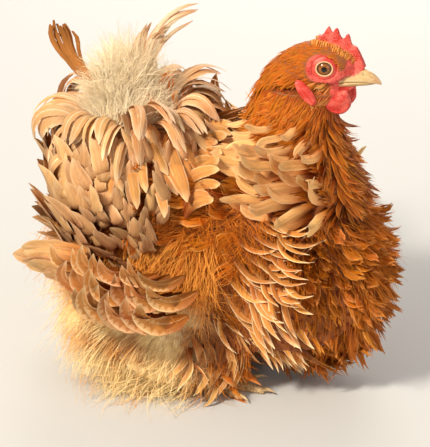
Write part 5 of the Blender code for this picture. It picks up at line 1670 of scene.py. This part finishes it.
def make_foot_feathers(settings):
    """Feathers spread low over the floor from the outer side of each shank."""
    draw = drawing(settings, 9)
    groups, count = [], 9
    for _, sign in SIDES:
        turn = np.radians(np.linspace(-30, 50, count)) * sign
        ray = columns(np.cos(turn), np.sin(turn), 0.0)
        height = 6 * MM + 8 * MM * (np.arange(count) % 3)
        roots = np.array((FOOT_X, sign * FOOT_Y, 0)) + ray * SHANK_RADIUS * 0.8 + np.outer(height, UP)
        groups.append(field(draw, roots, ray, length=0.032, width=0.0075, rise=-12, curl=-20, cup=0.3,
                            outline="lance", wander=1.2, normals=np.tile(UP, (count, 1))))
    lay(settings, draw, "foot_coat", "wing_feathers", "foot feathers", groups)


def make_stage(settings):
    """Pale floor, soft studio light and the camera."""
    scene = bpy.context.scene
    corners = np.array([(x, y, 0.0) for x, y in ((-3, -3), (3, -3), (3, 3), (-3, 3))])
    material, tree, shader = surface("floor", roughness=0.9, specular=0.2)
    painted(tree, shader, (0.60, 0.59, 0.57))
    mesh_object("floor", corners, np.array([[0, 1, 2, 3]]), material)
    world = bpy.data.worlds.new("studio")
    scene.world = world
    world.use_nodes = True
    tree = world.node_tree
    fill(tree, tree.nodes["Background"], {"Color": (1.0, 0.97, 0.93), "Strength": 0.43})
    back = Vector((math.sin(AZIMUTH) * math.cos(ELEVATION), -math.cos(AZIMUTH) * math.cos(ELEVATION),
                   math.sin(ELEVATION)))
    right = Vector((math.cos(AZIMUTH), math.sin(AZIMUTH), 0.0))
    centre = VIEW_CENTRE + Vector(SHIFT)
    for name, place, size, power, colour in (
            ("key", -right * 0.90 + back * 1.0 + Vector((0, 0, 0.85)), 0.28, 39.0, (1.0, 0.94, 0.82)),
            ("fill", right * 1.3 + back * 0.9 + Vector((0, 0, 0.3)), 1.2, 6.0, (1.0, 0.95, 0.90)),
            ("rim", -back * 1.2 + right * 0.2 + Vector((0, 0, 1.1)), 0.8, 10.0, (1.0, 0.96, 0.90))):
        light = bpy.data.lights.new(name, "AREA")
        light.size, light.energy, light.color = size, power, colour
        lamp = linked(name, light)
        lamp.location = centre + place
        lamp.rotation_euler = (-place).to_track_quat("-Z", "Y").to_euler()
    camera = bpy.data.cameras.new("camera")
    camera.sensor_width = SENSOR
    camera.lens = SENSOR * DISTANCE / (PHOTO_HEIGHT * METRES_PER_PIXEL)
    camera.clip_start = 0.05
    holder = linked("camera", camera)
    holder.location = centre + back * DISTANCE
    holder.rotation_euler = (-back).to_track_quat("-Z", "Y").to_euler()
    scene.camera = holder
    scene.view_settings.view_transform = "Standard"


# Operators, one for each piece or group of like pieces.


class HEN_OT_skin(bpy.types.Operator):
    """Make the seamless skin inside the coat"""

    bl_idname = "hen.skin"
    bl_label = "Skin"

    def execute(self, context):
        make_skin(context.scene.hen)
        return {"FINISHED"}


class HEN_OT_eyes(bpy.types.Operator):
    """Make both eyeballs and their lids"""

    bl_idname = "hen.eyes"
    bl_label = "Eyes"

    def execute(self, context):
        make_eyes(context.scene.hen)
        return {"FINISHED"}


class HEN_OT_bill(bpy.types.Operator):
    """Make the upper and the lower bill"""

    bl_idname = "hen.bill"
    bl_label = "Bill"

    def execute(self, context):
        make_bill(context.scene.hen)
        return {"FINISHED"}


class HEN_OT_comb(bpy.types.Operator):
    """Make the serrated comb"""

    bl_idname = "hen.comb"
    bl_label = "Comb"

    def execute(self, context):
        make_comb(context.scene.hen)
        return {"FINISHED"}


class HEN_OT_lobes(bpy.types.Operator):
    """Make the wattles and the ear lobes"""

    bl_idname = "hen.lobes"
    bl_label = "Lobes"

    def execute(self, context):
        make_lobes(context.scene.hen)
        return {"FINISHED"}


class HEN_OT_papillae(bpy.types.Operator):
    """Crowd small domes over the bare face"""

    bl_idname = "hen.papillae"
    bl_label = "Papillae"

    def execute(self, context):
        make_papillae(context.scene.hen)
        return {"FINISHED"}


class HEN_OT_feet(bpy.types.Operator):
    """Make the scaled feet and their claws"""

    bl_idname = "hen.feet"
    bl_label = "Feet"

    def execute(self, context):
        make_feet(context.scene.hen)
        return {"FINISHED"}


class HEN_OT_head_feathers(bpy.types.Operator):
    """Lay the short feathers of the head"""

    bl_idname = "hen.head_feathers"
    bl_label = "Head feathers"

    def execute(self, context):
        make_head_feathers(context.scene.hen)
        return {"FINISHED"}


class HEN_OT_hackle(bpy.types.Operator):
    """Lay the feathers of the neck"""

    bl_idname = "hen.hackle"
    bl_label = "Hackle"

    def execute(self, context):
        make_hackle(context.scene.hen)
        return {"FINISHED"}


class HEN_OT_breast(bpy.types.Operator):
    """Lay the curled feathers of the breast"""

    bl_idname = "hen.breast"
    bl_label = "Breast"

    def execute(self, context):
        make_breast(context.scene.hen)
        return {"FINISHED"}


class HEN_OT_shoulders(bpy.types.Operator):
    """Lay the arched feathers of the shoulders"""

    bl_idname = "hen.shoulders"
    bl_label = "Shoulders"

    def execute(self, context):
        make_shoulders(context.scene.hen)
        return {"FINISHED"}


class HEN_OT_saddle(bpy.types.Operator):
    """Lay the pointed feathers of the back"""

    bl_idname = "hen.saddle"
    bl_label = "Saddle"

    def execute(self, context):
        make_saddle(context.scene.hen)
        return {"FINISHED"}


class HEN_OT_down(bpy.types.Operator):
    """Grow the soft down"""

    bl_idname = "hen.down"
    bl_label = "Down"

    def execute(self, context):
        make_down(context.scene.hen)
        return {"FINISHED"}


class HEN_OT_wings(bpy.types.Operator):
    """Lay the feathers of the wings"""

    bl_idname = "hen.wings"
    bl_label = "Wings"

    def execute(self, context):
        make_wings(context.scene.hen)
        return {"FINISHED"}


class HEN_OT_tail(bpy.types.Operator):
    """Fan the quills of the tail"""

    bl_idname = "hen.tail"
    bl_label = "Tail"

    def execute(self, context):
        make_tail(context.scene.hen)
        return {"FINISHED"}


class HEN_OT_foot_feathers(bpy.types.Operator):
    """Spread the feathers of the feet"""

    bl_idname = "hen.foot_feathers"
    bl_label = "Foot feathers"

    def execute(self, context):
        make_foot_feathers(context.scene.hen)
        return {"FINISHED"}


class HEN_OT_stage(bpy.types.Operator):
    """Set floor, light and camera"""

    bl_idname = "hen.stage"
    bl_label = "Stage"

    def execute(self, context):
        make_stage(context.scene.hen)
        return {"FINISHED"}


OPERATORS = (
    HEN_OT_skin, HEN_OT_eyes, HEN_OT_bill, HEN_OT_comb, HEN_OT_lobes, HEN_OT_papillae, HEN_OT_feet,
    HEN_OT_head_feathers, HEN_OT_hackle, HEN_OT_breast, HEN_OT_shoulders, HEN_OT_saddle, HEN_OT_down,
    HEN_OT_wings, HEN_OT_tail, HEN_OT_foot_feathers, HEN_OT_stage,
)


class HEN_PT_panel(bpy.types.Panel):
    """Settings of the hen, and a button for each piece"""

    bl_idname = "HEN_PT_panel"
    bl_label = "Bantam hen"
    bl_space_type = "VIEW_3D"
    bl_region_type = "UI"
    bl_category = "Hen"

    def draw(self, context):
        for name in HenSettings.__annotations__:
            self.layout.prop(context.scene.hen, name)
        for kind in OPERATORS:
            self.layout.operator(kind.bl_idname)


CLASSES = (HenSettings, *OPERATORS, HEN_PT_panel)


def register():
    for kind in CLASSES:
        bpy.utils.register_class(kind)
    bpy.types.Scene.hen = PointerProperty(type=HenSettings)


def unregister():
    del bpy.types.Scene.hen
    for kind in reversed(CLASSES):
        bpy.utils.unregister_class(kind)


def main():
    register()
    for kind in OPERATORS:
        getattr(bpy.ops.hen, kind.bl_idname.split(".")[1])()


if __name__ == "__main__":
    main()
